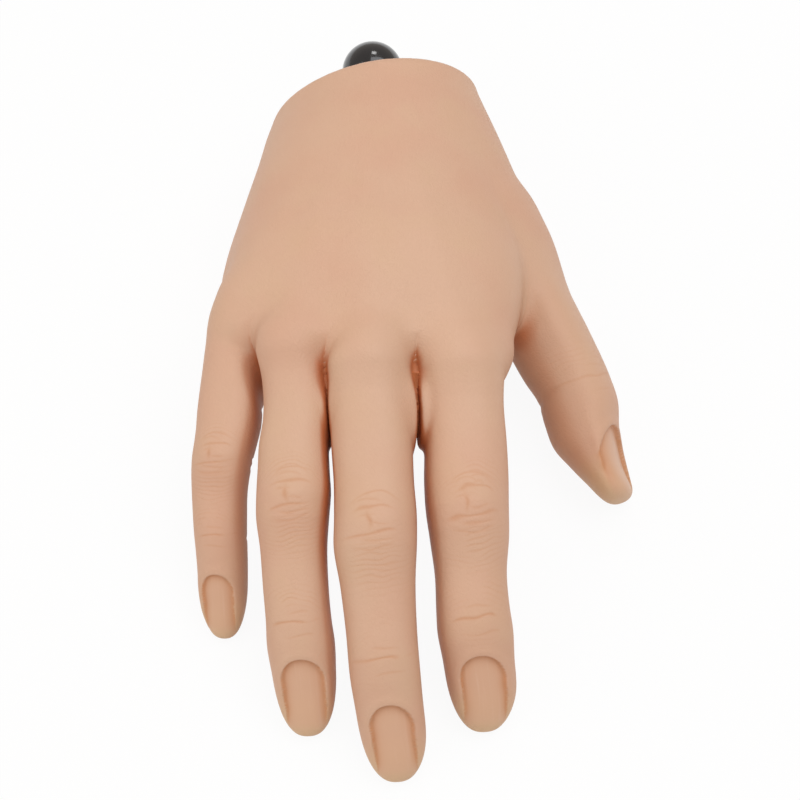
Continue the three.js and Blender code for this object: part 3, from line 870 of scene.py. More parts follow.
END_JOINT = JointLook(8.0, 0.16, 0.0, (0.3, 4.0, 2.0), (0.0,), END_CREASES)


class Wander:
    """Smooth unevenness in space, the same on every run."""

    def __init__(self, seed: int, size: float, waves: int = 14) -> None:
        """Draws the waves.

        Args:
            seed: which unevenness.
            size: its typical breadth in millimetres.
            waves: how many waves are added up.
        """
        rng = np.random.default_rng(seed)
        ways = unit(rng.normal(size=(waves, 3)))
        self.ways = ways * rng.uniform(0.6, 1.6, (waves, 1)) * 3.0 / size
        self.phases = rng.uniform(0, 2 * math.pi, waves)

    def read(self, points: Array) -> Array:
        """The unevenness at points, mostly between -1 and 1."""
        waves = np.sin(points @ self.ways.T + self.phases)
        return waves.sum(1) / math.sqrt(len(self.phases) / 1.4)


@dataclass
class Details:
    """What the skin shows at each point: its lift and the masks that its finish reads, several of
    them painted shade.
    """

    lift: Array
    # Painted shade in the folds under the joints and in the palm's lines.
    fold: Array
    # Painted shade in the creases and fine lines over the joints.
    line: Array
    # Painted shade on the nail recess's wall.
    wall: Array
    nail: Array
    nail_across: Array
    nail_along: Array
    tip: Array
    # Painted shade on each digit's sides.
    flank: Array
    # The pad side's warmer tone, which is also painted shade on the undersides.
    pad: Array
    # Painted shade where skin is near other skin.
    close: Array


class SkinDetails:
    """Knuckles, tendons, joint creases, nail beds and palm lines, and the painted shade in their
    hollows and between the digits.
    """

    NEAR = 1.5
    JOINT_LENGTH, JOINT_BREADTH = 5.0, 5.8
    THUMB_TURN, THUMB_SHARE = 0.8, 0.5
    UNDER = (-0.1, -0.6)
    NAIL_POWER, NAIL_TAPER, NAIL_CORNER, NAIL_SINK, NAIL_ROLL = 2.1, 0.12, 1.15, 0.8, 0.2
    # Reaches out along the normal, with their shares, at which the field is read for the painted
    # shade between parts.
    OPENNESS = ((2.0, 0.3), (6.0, 0.35), (12.0, 0.35))
    KNUCKLE_BACK, KNUCKLE_RISE, KNUCKLE_SIZE = 15.0, 0.6, (8.0, 6.5)
    TENDON_RISE, TENDON_WIDTH = 0.2, 3.0
    # Fine lines: gap, depth and share of painted shade.
    LINE_GAP, LINE_DEPTH, LINE_MARK = 1.15, 0.035, 0.4
    LINES_BEFORE, LINES_LENGTH, LINES_BREADTH = -5.0, 3.2, 6.4
    LINE_BOWS = (0.07, 0.035)
    # The dimple's depth and painted shade, and the crease depth at which a crease's painted shade
    # is full.
    DIMPLE_DEPTH, DIMPLE_MARK = 0.05, 0.8
    FULL_MARK = 0.08
    FOLD_WIDTH = 0.7
    # Each fold as its depth and the share of painted shade laid in it.
    FOLD, THUMB_FOLD = (0.45, 0.6), (0.2, 0.05)
    WEB_FOLD_PLACE, WEB_FOLD = 3.0, (0.5, 0.75)
    # Palm lines: width, depth and share of painted shade.
    PALM_LINE_WIDTH, PALM_LINE_DEPTH, PALM_LINE_MARK = 0.95, 0.6, 0.7
    PALM_END = -88.0
    PALM_LINES = (
        ((27, -64), (20, -60), (12, -50), (7, -36), (4, -20), (3, -8)),
        ((27, -66), (16, -62), (2, -58), (-12, -52), (-24, -46)),
        ((-37, -68), (-26, -70), (-14, -74), (-4, -80), (1, -86)),
    )

    def __init__(self, hand: HandField) -> None:
        """Keeps the field whose skin is detailed."""
        self.hand = hand
        self.slow, self.quick = Wander(3, 9.0), Wander(5, 2.6)

    def read(self, points: Array, normals: Array) -> Details:
        """Works out the details at points of the skin.

        Args:
            points: places on the plain skin.
            normals: the skin's directions there.

        Returns:
            The details.
        """
        out = Details(*(np.zeros(len(points)) for _ in fields(Details)))
        readings = self.hand.readings(points)
        for name, reading in readings.items():
            near = self.hand.of_digit(readings, name) & (reading.distance < self.NEAR)
            mine = np.nonzero(near)[0]
            digit = self.hand.digits[name]
            self.add_joints(out, digit, reading, mine, points[mine])
            self.add_nail(out, digit, reading, mine, points[mine])
            past_web = ramp(-4, 6, reading.place[mine])
            # The pad side's warmer tone, also painted shade on each digit's underside.
            under = past_web * ramp(-0.1, -0.55, reading.share[mine])
            out.pad[mine] = np.maximum(out.pad[mine], under)
            # Painted shade on each digit's sides, beyond the web.
            half = digit.limb.size_at("half", reading.place[mine])
            out.flank[mine] = past_web * ramp(0.55, 1.0, np.abs(reading.across[mine]) / half)
            out.tip[mine] = ramp(digit.end - 13, digit.end - 3, reading.place[mine])
        self.add_back(out, points, normals)
        self.add_palm(out, points, normals)
        # Painted shade where other skin is near: the field is read a few reaches out along the
        # normal, and the less room there, the more shade.
        out.close = 1.0 - sum(
            share * np.clip(self.hand.value(points + normals * reach) / reach, 0, 1)
            for reach, share in self.OPENNESS
        )
        return out

    def add_joints(
        self, out: Details, digit: Digit, reading: Reading, mine: Array, points: Array
    ) -> None:
        """Adds the creases over and under a digit's hinges, with painted shade in them."""
        s, x, share = reading.place[mine], reading.across[mine], reading.share[mine]
        # Besides the lift: painted shade in the folds and in the creases and lines.
        lift, fold, line = np.zeros((3, len(s)))
        thumb = digit.sizes.name == "thumb"
        turned = self.THUMB_TURN if thumb else 0.0
        back = ramp(0.1 - turned, 0.7 - turned, share) * (self.THUMB_SHARE if thumb else 1.0)
        under = ramp(*self.UNDER, share)
        slow, quick = self.slow.read(points), self.quick.read(points)
        *middle, end = digit.hinge_places[1:]
        for look, place in [*((MIDDLE_JOINT, at) for at in middle), (END_JOINT, end)]:
            scale = float(digit.limb.size_at("half", np.array([place]))[0]) / look.half
            v, u = (s - place) / scale + 0.18 * slow, (x - digit.sizes.crease_shift) / scale
            lift += back * look.rise * bell(v, self.JOINT_LENGTH) * bell(u, self.JOINT_BREADTH)
            for crease in look.creases:
                off = u - crease.across
                wave = crease.place + crease.bow * (off / crease.reach) ** 2
                wave += crease.slant * off + 0.2 * quick
                strength = ramp(1.05, 0.3, np.abs(off) / crease.reach + 0.15 * quick)
                mark = back * strength * bell(v - wave, 0.2 + 1.2 * crease.depth)
                lift -= crease.depth * mark
                # Painted shade in the crease, full where the crease is a given depth.
                line = np.maximum(line, mark * crease.depth / self.FULL_MARK)
            fine = back * self.fine_lines(look, u, v, slow, quick)
            dimple = back * look.dimple * bell(v - 0.1, 1.3) * bell(u + 1.0 + 0.3 * quick, 0.55)
            lift -= self.LINE_DEPTH * fine + self.DIMPLE_DEPTH * dimple
            # Painted shade in the fine lines and in the dimple.
            line = np.maximum(line, self.LINE_MARK * fine)
            line = np.maximum(line, self.DIMPLE_MARK * dimple)
            # The folds under the joint are sunk and get painted shade.
            depth, shade_share = self.THUMB_FOLD if thumb else self.FOLD
            for offset in look.folds:
                mark = under * bell(v - offset - 0.02 * u**2 + 0.2 * quick, self.FOLD_WIDTH)
                lift -= depth * mark
                fold = np.maximum(fold, shade_share * mark)
        # The fold at the web is sunk and gets painted shade.
        if not thumb:
            start = digit.sizes.web + self.WEB_FOLD_PLACE
            mark = under * bell(s - start + 0.2 * quick, self.FOLD_WIDTH)
            depth, shade_share = self.WEB_FOLD
            lift -= depth * mark
            fold = np.maximum(fold, shade_share * mark)
        out.lift[mine] += lift
        out.fold[mine] = np.maximum(out.fold[mine], fold)
        out.line[mine] = np.maximum(out.line[mine], line)

    def fine_lines(self, look: JointLook, u: Array, v: Array, slow: Array, quick: Array) -> Array:
        """The fine lines before and beyond a joint.

        Args:
            look: the joint's looks.
            u: places across the finger.
            v: places along it, from the joint.
            slow: the skin's wide unevenness there.
            quick: its narrow unevenness.

        Returns:
            Their strength.
        """
        before, beyond = self.LINE_BOWS
        bowed = np.where(v < 0, v - before * u**2, v + beyond * u**2)
        wave = np.sin(2 * math.pi * bowed / self.LINE_GAP + 1.3 * quick + 2.0 * slow)
        strength, place, length = look.beyond
        around = bell(v - self.LINES_BEFORE, self.LINES_LENGTH)
        around = np.minimum(around + strength * bell(v - place, length), 1.0)
        around *= bell(u, self.LINES_BREADTH)
        return around * ramp(0.1, 1.0, wave) * ramp(-1.0, 0.4, slow + quick * 0.5)

    def add_nail(
        self, out: Details, digit: Digit, reading: Reading, mine: Array, points: Array
    ) -> None:
        """Sinks the nail bed and raises the folds round it, with painted shade on the recess's
        wall.
        """
        nail, p = digit.sizes.nail, self.NAIL_POWER
        s, x = reading.place[mine], reading.across[mine] - nail.shift
        top = ramp(-0.15, 0.2, reading.share[mine])
        t = np.clip((s - nail.base) / (nail.end - nail.base), 0, 1)
        half = nail.half * (1.0 - self.NAIL_TAPER * t**2) + 0.06 * self.quick.read(points)
        corner = nail.half * self.NAIL_CORNER
        back = np.maximum(nail.base + corner - s, 0.0) / corner
        edge = ((np.abs(x / half) ** p + back**p) ** (1 / p) - 1.0) * nail.half
        deep = nail.depth * self.NAIL_SINK * (1.0 - ramp(0.4, 1.05, t))
        inside = ramp(0.12, -0.28, edge)
        roll = self.NAIL_ROLL * bell(edge - 0.8, 0.9) * (1 - ramp(0.5, 1.0, t))
        out.lift[mine] += top * (roll - inside * deep)
        # Painted shade on the recess's wall, darkest at its outer edge and fading inwards.
        wall = ramp(0.1, -0.02, edge) * np.exp(np.minimum(edge, 0.0) / 0.75)
        out.wall[mine] = top * wall * (1 - ramp(0.75, 1.05, t))
        out.nail[mine] = top * inside * (1 - ramp(nail.end - 2.0, nail.end + 1.0, s))
        out.nail_across[mine], out.nail_along[mine] = x, s

    def add_back(self, out: Details, points: Array, normals: Array) -> None:
        """Adds the knuckles and the tendons on the back of the hand."""
        up = ramp(0.1, 0.7, normals[:, 2])
        long, broad = self.KNUCKLE_SIZE
        for name in (sizes.name for sizes in FINGERS):
            digit = self.hand.digits[name]
            centre, way, side, _ = digit.limb.frame_at(-digit.sizes.root)
            centre = centre - way * (self.KNUCKLE_BACK - digit.sizes.root)
            off = points - centre
            big = 0.8 if name == "little" else 1.0
            bump = bell(off @ way, long) * bell(off @ side, broad * big)
            out.lift += up * self.KNUCKLE_RISE * big * bump
            length = float(np.hypot(centre[0], centre[1]))
            run = -centre[:2] / length
            along = off[:, :2] @ run
            beside = off[:, 1] * run[0] - off[:, 0] * run[1]
            reach = ramp(-2, 12, along) * ramp(length * 0.8, length * 0.3, along)
            out.lift += up * self.TENDON_RISE * bell(beside, self.TENDON_WIDTH) * reach

    def add_palm(self, out: Details, points: Array, normals: Array) -> None:
        """Adds the lines of the palm's underside, with painted shade in them, and the underside's
        warmer tone, which is also painted shade where the skin faces down.
        """
        under = ramp(-0.15, -0.6, normals[:, 2]) * (points[:, 1] > self.PALM_END)
        here = np.nonzero(under > 0)[0]
        spot = points[here][:, :2]
        for line in self.PALM_LINES:
            corners = np.array(line, float)
            best = np.full(len(spot), 99.0)
            for a, b in zip(corners, corners[1:]):
                run = b - a
                t = np.clip(((spot - a) @ run) / (run @ run), 0, 1)
                best = np.minimum(best, np.linalg.norm(spot - a - t[:, None] * run, axis=1))
            crease = under[here] * bell(best, self.PALM_LINE_WIDTH)
            out.lift[here] -= self.PALM_LINE_DEPTH * crease
            # Painted shade in the palm's lines.
            out.fold[here] = np.maximum(out.fold[here], self.PALM_LINE_MARK * crease)
        # The palm's underside tone, also painted shade where the skin faces down.
        out.pad[here] = np.maximum(out.pad[here], under[here])


# Making the skin.


class Mold:
    """Makes meshes from rings, remeshes them and hands them on."""

    @staticmethod
    def loft(rings: Sequence[Array]) -> bmesh.types.BMesh:
        """Bridges rings of points into a closed solid."""
        bm = bmesh.new()
        loops: list[list[bmesh.types.BMEdge]] = []
        for index, ring in enumerate(rings):
            ends = index in (0, len(rings) - 1)
            made = bmesh.ops.create_circle(bm, cap_ends=ends, segments=len(ring), radius=1.0)
            verts = made["verts"]
            for vert, place in zip(verts, ring):
                vert.co = place
            mine = set(verts)
            loops.append(list({e for v in verts for e in v.link_edges if set(e.verts) <= mine}))
        for one, two in zip(loops, loops[1:]):
            bmesh.ops.bridge_loops(bm, edges=one + two)
        bmesh.ops.recalc_face_normals(bm, faces=bm.faces)
        return bm

    @staticmethod
    def to_object(name: str, bm: bmesh.types.BMesh) -> bpy.types.Object:
        """Turns a bmesh into an object in the scene and frees it."""
        mesh = bpy.data.meshes.new(name)
        bm.to_mesh(mesh)
        bm.free()
        made = bpy.data.objects.new(name, mesh)
        bpy.context.scene.collection.objects.link(made)
        return made

    @staticmethod
    def applied(obj: bpy.types.Object) -> bpy.types.Object:
        """Applies an object's modifiers to its mesh."""
        graph = bpy.context.evaluated_depsgraph_get()
        mesh = bpy.data.meshes.new_from_object(obj.evaluated_get(graph))
        old = obj.data
        obj.modifiers.clear()
        obj.data = mesh
        mesh.name = obj.name
        bpy.data.meshes.remove(old)
        return obj

    @staticmethod
    def drop(obj: bpy.types.Object) -> None:
        """Removes a helper object and its mesh."""
        mesh = obj.data
        bpy.data.objects.remove(obj)
        bpy.data.meshes.remove(mesh)

    @staticmethod
    def numbers(items: bpy.types.bpy_prop_collection, name: str) -> Array:
        """Reads a whole number of each item."""
        flat = np.zeros(len(items), np.int32)
        items.foreach_get(name, flat)
        return flat

    @staticmethod
    def vectors(items: bpy.types.bpy_prop_collection, name: str = "vector") -> Array:
        """Reads a vector of each item."""
        flat = np.zeros(len(items) * 3, np.float32)
        items.foreach_get(name, flat)
        return flat.reshape(-1, 3).astype(float)

    @classmethod
    def places(cls, mesh: bpy.types.Mesh) -> Array:
        """A mesh's vertex places."""
        return cls.vectors(mesh.vertices, "co")

    @staticmethod
    def rim(mesh: bpy.types.Mesh) -> Array:
        """Whether each vertex lies on an open edge."""
        bm = bmesh.new()
        bm.from_mesh(mesh)
        found = np.array([v.is_boundary for v in bm.verts])
        bm.free()
        return found

    @staticmethod
    def add(bm: bmesh.types.BMesh, part: bmesh.types.BMesh) -> None:
        """Adds a part to a bmesh and frees the part."""
        mesh = bpy.data.meshes.new("part")
        part.to_mesh(mesh)
        part.free()
        bm.from_mesh(mesh)
        bpy.data.meshes.remove(mesh)

    @staticmethod
    def set_places(mesh: bpy.types.Mesh, points: Array) -> None:
        """Writes a mesh's vertex places."""
        mesh.vertices.foreach_set("co", points.astype(np.float32).ravel())
        mesh.update()


@dataclass
class SkinPiece:
    """One parted piece of the skin: a palm, root, middle or tip skin.

    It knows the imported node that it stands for, its digit and its order there from 0, and how
    often its faces are divided.
    """

    name: str
    node: str
    digit: Digit | None = None
    order: int = 0
    levels: int = 1
    obj: bpy.types.Object | None = None


class Skin:
    """The whole silicone skin, shaped as one and parted into pieces."""

    VOXEL = 1.0
    THIN, THIN_FROM, THUMB_THIN_FROM = 0.84, -6.0, 6.0
    CUT_BAND, CUT_DEPTH = 4.0, 2.5
    PIECE_DEPTH, PIECE_START = 3.0, -5.0
    RIM_OFF, RIM_REACH, RIM_MATCH = 0.02, 22.0, 0.45

    def __init__(self, hand: HandField, frame: HandFrame) -> None:
        """Keeps the field and the frame."""
        self.hand, self.frame = hand, frame
        self.details = SkinDetails(hand)
        self.pieces = [SkinPiece("palm_silicone", "palm_skin")]
        for name, digit in hand.digits.items():
            for order, word in enumerate(digit.sizes.pieces):
                part = f"{name}_{word}"
                self.pieces.append(SkinPiece(f"{part}_silicone", f"{part}_skin", digit, order, 2))

    def rough(self) -> bpy.types.Object:
        """Joins rough limbs into one closed mesh that follows the field."""
        whole = bmesh.new()
        parts = [Mold.loft(self.hand.palm.rings())]
        parts += [Mold.loft(pad.rings(0.97, 0.0)) for pad in self.hand.pads]
        for name, digit in self.hand.digits.items():
            start = self.THUMB_THIN_FROM if name == "thumb" else self.THIN_FROM
            parts.append(Mold.loft(digit.limb.rings(self.THIN, start)))
        for part in parts:
            Mold.add(whole, part)
        obj = Mold.to_object("rough_skin", whole)
        remesh = obj.modifiers.new("remesh", "REMESH")
        remesh.mode, remesh.voxel_size = "VOXEL", self.VOXEL
        obj = Mold.applied(obj)
        for _ in range(3):
            smooth = obj.modifiers.new("smooth", "SMOOTH")
            smooth.factor, smooth.iterations = 0.5, 4
            Mold.applied(obj)
            Mold.set_places(obj.data, self.hand.settle(Mold.places(obj.data), 2))
        return obj

    def parted(self, obj: bpy.types.Object) -> None:
        """Cuts the skin at its partings and makes each piece an object."""
        bm = bmesh.new()
        bm.from_mesh(obj.data)
        for digit in self.hand.digits.values():
            for point, way in digit.cuts():
                self.cut(bm, digit, point, way)
        bm.faces.ensure_lookup_table()
        labels = self.labels(bm)
        layer = bm.faces.layers.int.new("piece")
        for face, label in zip(bm.faces, labels):
            face[layer] = int(label)
        for index, piece in enumerate(self.pieces):
            mine = bm.copy()
            own = mine.faces.layers.int["piece"]
            others = [f for f in mine.faces if f[own] != index]
            bmesh.ops.delete(mine, geom=others, context="FACES")
            piece.obj = Mold.to_object(piece.name, mine)
        bm.free()
        Mold.drop(obj)

    def cut(self, bm: bmesh.types.BMesh, digit: Digit, point: Array, way: Array) -> None:
        """Divides a digit's faces along one parting plane."""
        bm.faces.ensure_lookup_table()
        centres = np.array([f.calc_center_median() for f in bm.faces])
        readings = self.hand.readings(centres)
        name = digit.sizes.name
        near = np.abs((centres - point) @ way) < self.CUT_BAND
        near &= np.abs(readings[name].distance) < self.CUT_DEPTH
        near &= self.hand.of_digit(readings, name)
        faces = [bm.faces[i] for i in np.nonzero(near)[0]]
        edges, verts = {e for f in faces for e in f.edges}, {v for f in faces for v in f.verts}
        plane = {"plane_co": Vector(point), "plane_no": Vector(way)}
        bmesh.ops.bisect_plane(bm, geom=list(edges | verts) + faces, dist=1e-5, **plane)

    def labels(self, bm: bmesh.types.BMesh) -> Array:
        """Numbers each face by the piece that it belongs to."""
        centres = np.array([f.calc_center_median() for f in bm.faces])
        labels = np.zeros(len(centres), int)
        readings = self.hand.readings(centres)
        for index, piece in enumerate(self.pieces):
            if piece.digit is None:
                continue
            name = piece.digit.sizes.name
            point, way = piece.digit.cuts()[piece.order]
            mine = self.hand.of_digit(readings, name) & ((centres - point) @ way > 0)
            mine &= readings[name].distance < self.PIECE_DEPTH
            mine &= readings[name].place > self.PIECE_START
            labels[mine] = index
        return labels

    def refined(self) -> None:
        """Divides each piece, settles it on the field and adds its details."""
        for piece in self.pieces:
            obj = piece.obj
            divide = obj.modifiers.new("divide", "SUBSURF")
            divide.subdivision_type = "SIMPLE"
            divide.levels = divide.render_levels = piece.levels
            Mold.applied(obj)
            points = Mold.places(obj.data)
            planes = self.plane_ways(obj.data, points)
            points = self.hand.settle(points, 2, planes)
            normals = unit(self.hand.slope(points)[1])
            details = self.details.read(points, normals)
            points += normals * details.lift[:, None]
            Mold.set_places(obj.data, points)
            self.keep(obj.data, details)

    def plane_ways(self, mesh: bpy.types.Mesh, points: Array) -> Array:
        """The plane's direction for points on a parting's edge, zero elsewhere."""
        rim = Mold.rim(mesh)
        ways = np.zeros_like(points)
        for digit in self.hand.digits.values():
            for point, way in digit.cuts():
                off = points - point
                on = rim & (np.abs(off @ way) < self.RIM_OFF)
                ways[on & (np.linalg.norm(off, axis=1) < self.RIM_REACH)] = way
        return ways

    @staticmethod
    def keep(mesh: bpy.types.Mesh, details: Details) -> None:
        """Writes the details' masks as attributes of the mesh."""
        for mask in fields(details):
            if mask.name == "lift":
                continue
            layer = mesh.attributes.new(mask.name, "FLOAT", "POINT")
            layer.data.foreach_set("value", getattr(details, mask.name).astype(np.float32))

    def vertex_normals(self) -> list[Array]:
        """Each piece's normals, shared across the partings so that no seam shows."""
        meshes = [piece.obj.data for piece in self.pieces]
        sums = [Mold.vectors(mesh.vertex_normals) for mesh in meshes]
        rims = [np.nonzero(Mold.rim(mesh))[0] for mesh in meshes]
        trees, points = [], [Mold.places(mesh) for mesh in meshes]
        for spots, rim in zip(points, rims):
            tree = KDTree(max(len(rim), 1))
            for index in rim:
                tree.insert(Vector(spots[index]), int(index))
            tree.balance()
            trees.append(tree)
        result = [s.copy() for s in sums]
        for here, rim in enumerate(rims):
            for index in rim:
                spot = Vector(points[here][index])
                for there, tree in enumerate(trees):
                    if there == here or not len(rims[there]):
                        continue
                    _, other, away = tree.find(spot)
                    if away is not None and away < self.RIM_MATCH:
                        result[here][index] += sums[there][other]
        return [unit(r) for r in result]

    def closed(self, normals: list[Array]) -> None:
        """Caps each piece's partings and gives it its shared normals."""
        for piece, ways in zip(self.pieces, normals):
            mesh = piece.obj.data
            skin_faces = len(mesh.polygons)
            bm = bmesh.new()
            bm.from_mesh(mesh)
            rim = [e for e in bm.edges if e.is_boundary]
            bmesh.ops.holes_fill(bm, edges=rim, sides=0)
            LOG.info("%s: %d rim edges", piece.name, len(rim))
            bmesh.ops.triangulate(bm, faces=[f for f in bm.faces if len(f.verts) > 4])
            bm.to_mesh(mesh)
            bm.free()
            self.set_normals(mesh, ways, skin_faces)

    @staticmethod
    def set_normals(mesh: bpy.types.Mesh, ways: Array, skin_faces: int) -> None:
        """Shades the skin by its shared normals and the caps flat."""
        mesh.polygons.foreach_set("use_smooth", [True] * len(mesh.polygons))
        sides = Mold.numbers(mesh.polygons, "loop_total")
        corners = Mold.numbers(mesh.loops, "vertex_index")
        owner = np.repeat(np.arange(len(mesh.polygons)), sides)
        of_skin = (owner < skin_faces) & (sides[owner] == 4)
        flat = Mold.vectors(mesh.polygon_normals)[owner]
        loops = np.where(of_skin[:, None], ways[corners], flat)
        mesh.normals_split_custom_set([tuple(v) for v in loops])

    def dress(self, finish: bpy.types.Material) -> None:
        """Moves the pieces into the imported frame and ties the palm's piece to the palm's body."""
        for piece in self.pieces:
            obj, digit = piece.obj, piece.digit
            obj.data.transform(self.frame.matrix())
            coated(obj, finish)
            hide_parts(piece.node)
            if digit is None:
                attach(obj, "palm")
            else:
                one, two = digit.bodies[piece.order : piece.order + 2]
                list(self.bend(piece))
                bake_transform(obj)
            LOG.info("%s: %d faces", piece.name, len(obj.data.polygons))

    def bend(self, piece: SkinPiece) -> list[tuple[float, ...]]:
        """Where a piece's bend starts and ends, in packed metres."""
        limb, (start, end) = piece.digit.limb, piece.digit.sizes.bends[piece.order]
        a, b = limb.frame_at(start)[0], limb.frame_at(end)[0]
        way = unit(limb.frame_at(start if piece.order == 0 else (start + end) / 2)[1])
        b = a + way * float((b - a) @ way)
        return [tuple(spot) for spot in self.frame.outward(np.array([a, b]))]


# Materials.


class Value:
    """A shader socket that can be reckoned with in plain arithmetic."""

    def __init__(self, maker: "Maker", socket: bpy.types.NodeSocket) -> None:
        """Wraps an output socket."""
        self.maker, self.socket = maker, socket

    def _math(self, operation: str, first: "Value | float", second: "Value | float") -> "Value":
        """Adds one Math node."""
        return self.maker.node("ShaderNodeMath", {"operation": operation}, {0: first, 1: second})

    def __add__(self, other: "Value | float") -> "Value":
        """self + other."""
        return self._math("ADD", self, other)

    __radd__ = __add__

    def __sub__(self, other: "Value | float") -> "Value":
        """self - other."""
        return self._math("SUBTRACT", self, other)

    def __rsub__(self, other: "Value | float") -> "Value":
        """other - self."""
        return self._math("SUBTRACT", other, self)

    def __mul__(self, other: "Value | float") -> "Value":
        """self * other."""
        return self._math("MULTIPLY", self, other)

    __rmul__ = __mul__


class Maker:
    """Builds one material's nodes."""

    def __init__(self, name: str) -> None:
        """Starts a material with a plain surface shader."""
        self.material = bpy.data.materials.new(name)
        self.material.use_nodes = True
        self.tree = self.material.node_tree
        self.tree.nodes.clear()
        self.surface = self.tree.nodes.new("ShaderNodeBsdfPrincipled")
        output = self.tree.nodes.new("ShaderNodeOutputMaterial")
        self.tree.links.new(self.surface.outputs[0], output.inputs[0])

    def node(
        self,
        kind: str,
        settings: dict[str, object] | None = None,
        inputs: dict[int | str, object] | None = None,
        output: int | str = 0,
    ) -> Value:
        """Adds a node.

        Args:
            kind: the node's type.
            settings: its settings, set first.
            inputs: values or links by socket.
            output: which output is handed back.

        Returns:
            The output as a value.
        """
        made = self.tree.nodes.new(kind)
        for key, setting in (settings or {}).items():
            setattr(made, key, setting)
        for key, given in (inputs or {}).items():
            self.feed(made.inputs[key], given)
        return Value(self, made.outputs[output])

    def feed(self, socket: bpy.types.NodeSocket, given: object) -> None:
        """Links a value to a socket, or sets a plain one."""
        if isinstance(given, Value):
            self.tree.links.new(given.socket, socket)
        else:
            socket.default_value = given

    def read(self, name: str) -> Value:
        """Reads one of the mesh's own masks."""
        settings = {"attribute_name": name, "attribute_type": "GEOMETRY"}
        return self.node("ShaderNodeAttribute", settings, output="Fac")

    def place(self) -> Value:
        """The place on the object, in metres."""
        return self.node("ShaderNodeTexCoord", output="Object")

    def noise(self, place: Value, scale: float, detail: float = 2.0, rough: float = 0.5) -> Value:
        """Soft noise between 0 and 1."""
        inputs = {"Vector": place, "Scale": scale, "Detail": detail, "Roughness": rough}
        return self.node("ShaderNodeTexNoise", None, inputs)

    def stepped(self, value: Value, low: float, high: float, top: float = 1.0) -> Value:
        """Steps smoothly from 0 at low to top at high."""
        settings = {"interpolation_type": "SMOOTHSTEP"}
        inputs = {"Value": value, "From Min": low, "From Max": high, "To Min": 0.0, "To Max": top}
        return self.node("ShaderNodeMapRange", settings, inputs)

    def mixed(self, factor: Value | float, one: object, two: object) -> Value:
        """Mixes two colours."""
        settings = {"data_type": "RGBA", "clamp_factor": True}
        return self.node("ShaderNodeMix", settings, {0: factor, 6: one, 7: two}, output=2)

    def bump(self, height: Value, distance: float, strength: float = 1.0) -> Value:
        """Turns a height into a bumped normal."""
        inputs = {"Height": height, "Distance": distance, "Strength": strength}
        return self.node("ShaderNodeBump", None, inputs, output="Normal")

    def finish(self, **sockets: object) -> bpy.types.Material:
        """Feeds the surface's own sockets; underscores stand for spaces."""
        for name, given in sockets.items():
            self.feed(self.surface.inputs[name.replace("_", " ")], given)
        return self.material


def shade(red: int, green: int, blue: int) -> tuple[float, float, float, float]:
    """Turns a screen colour into the linear one that shaders take."""

    def linear(level: int) -> float:
        """One channel."""
        c = level / 255
        return c / 12.92 if c <= 0.04045 else ((c + 0.055) / 1.055) ** 2.4

    return (linear(red), linear(green), linear(blue), 1.0)


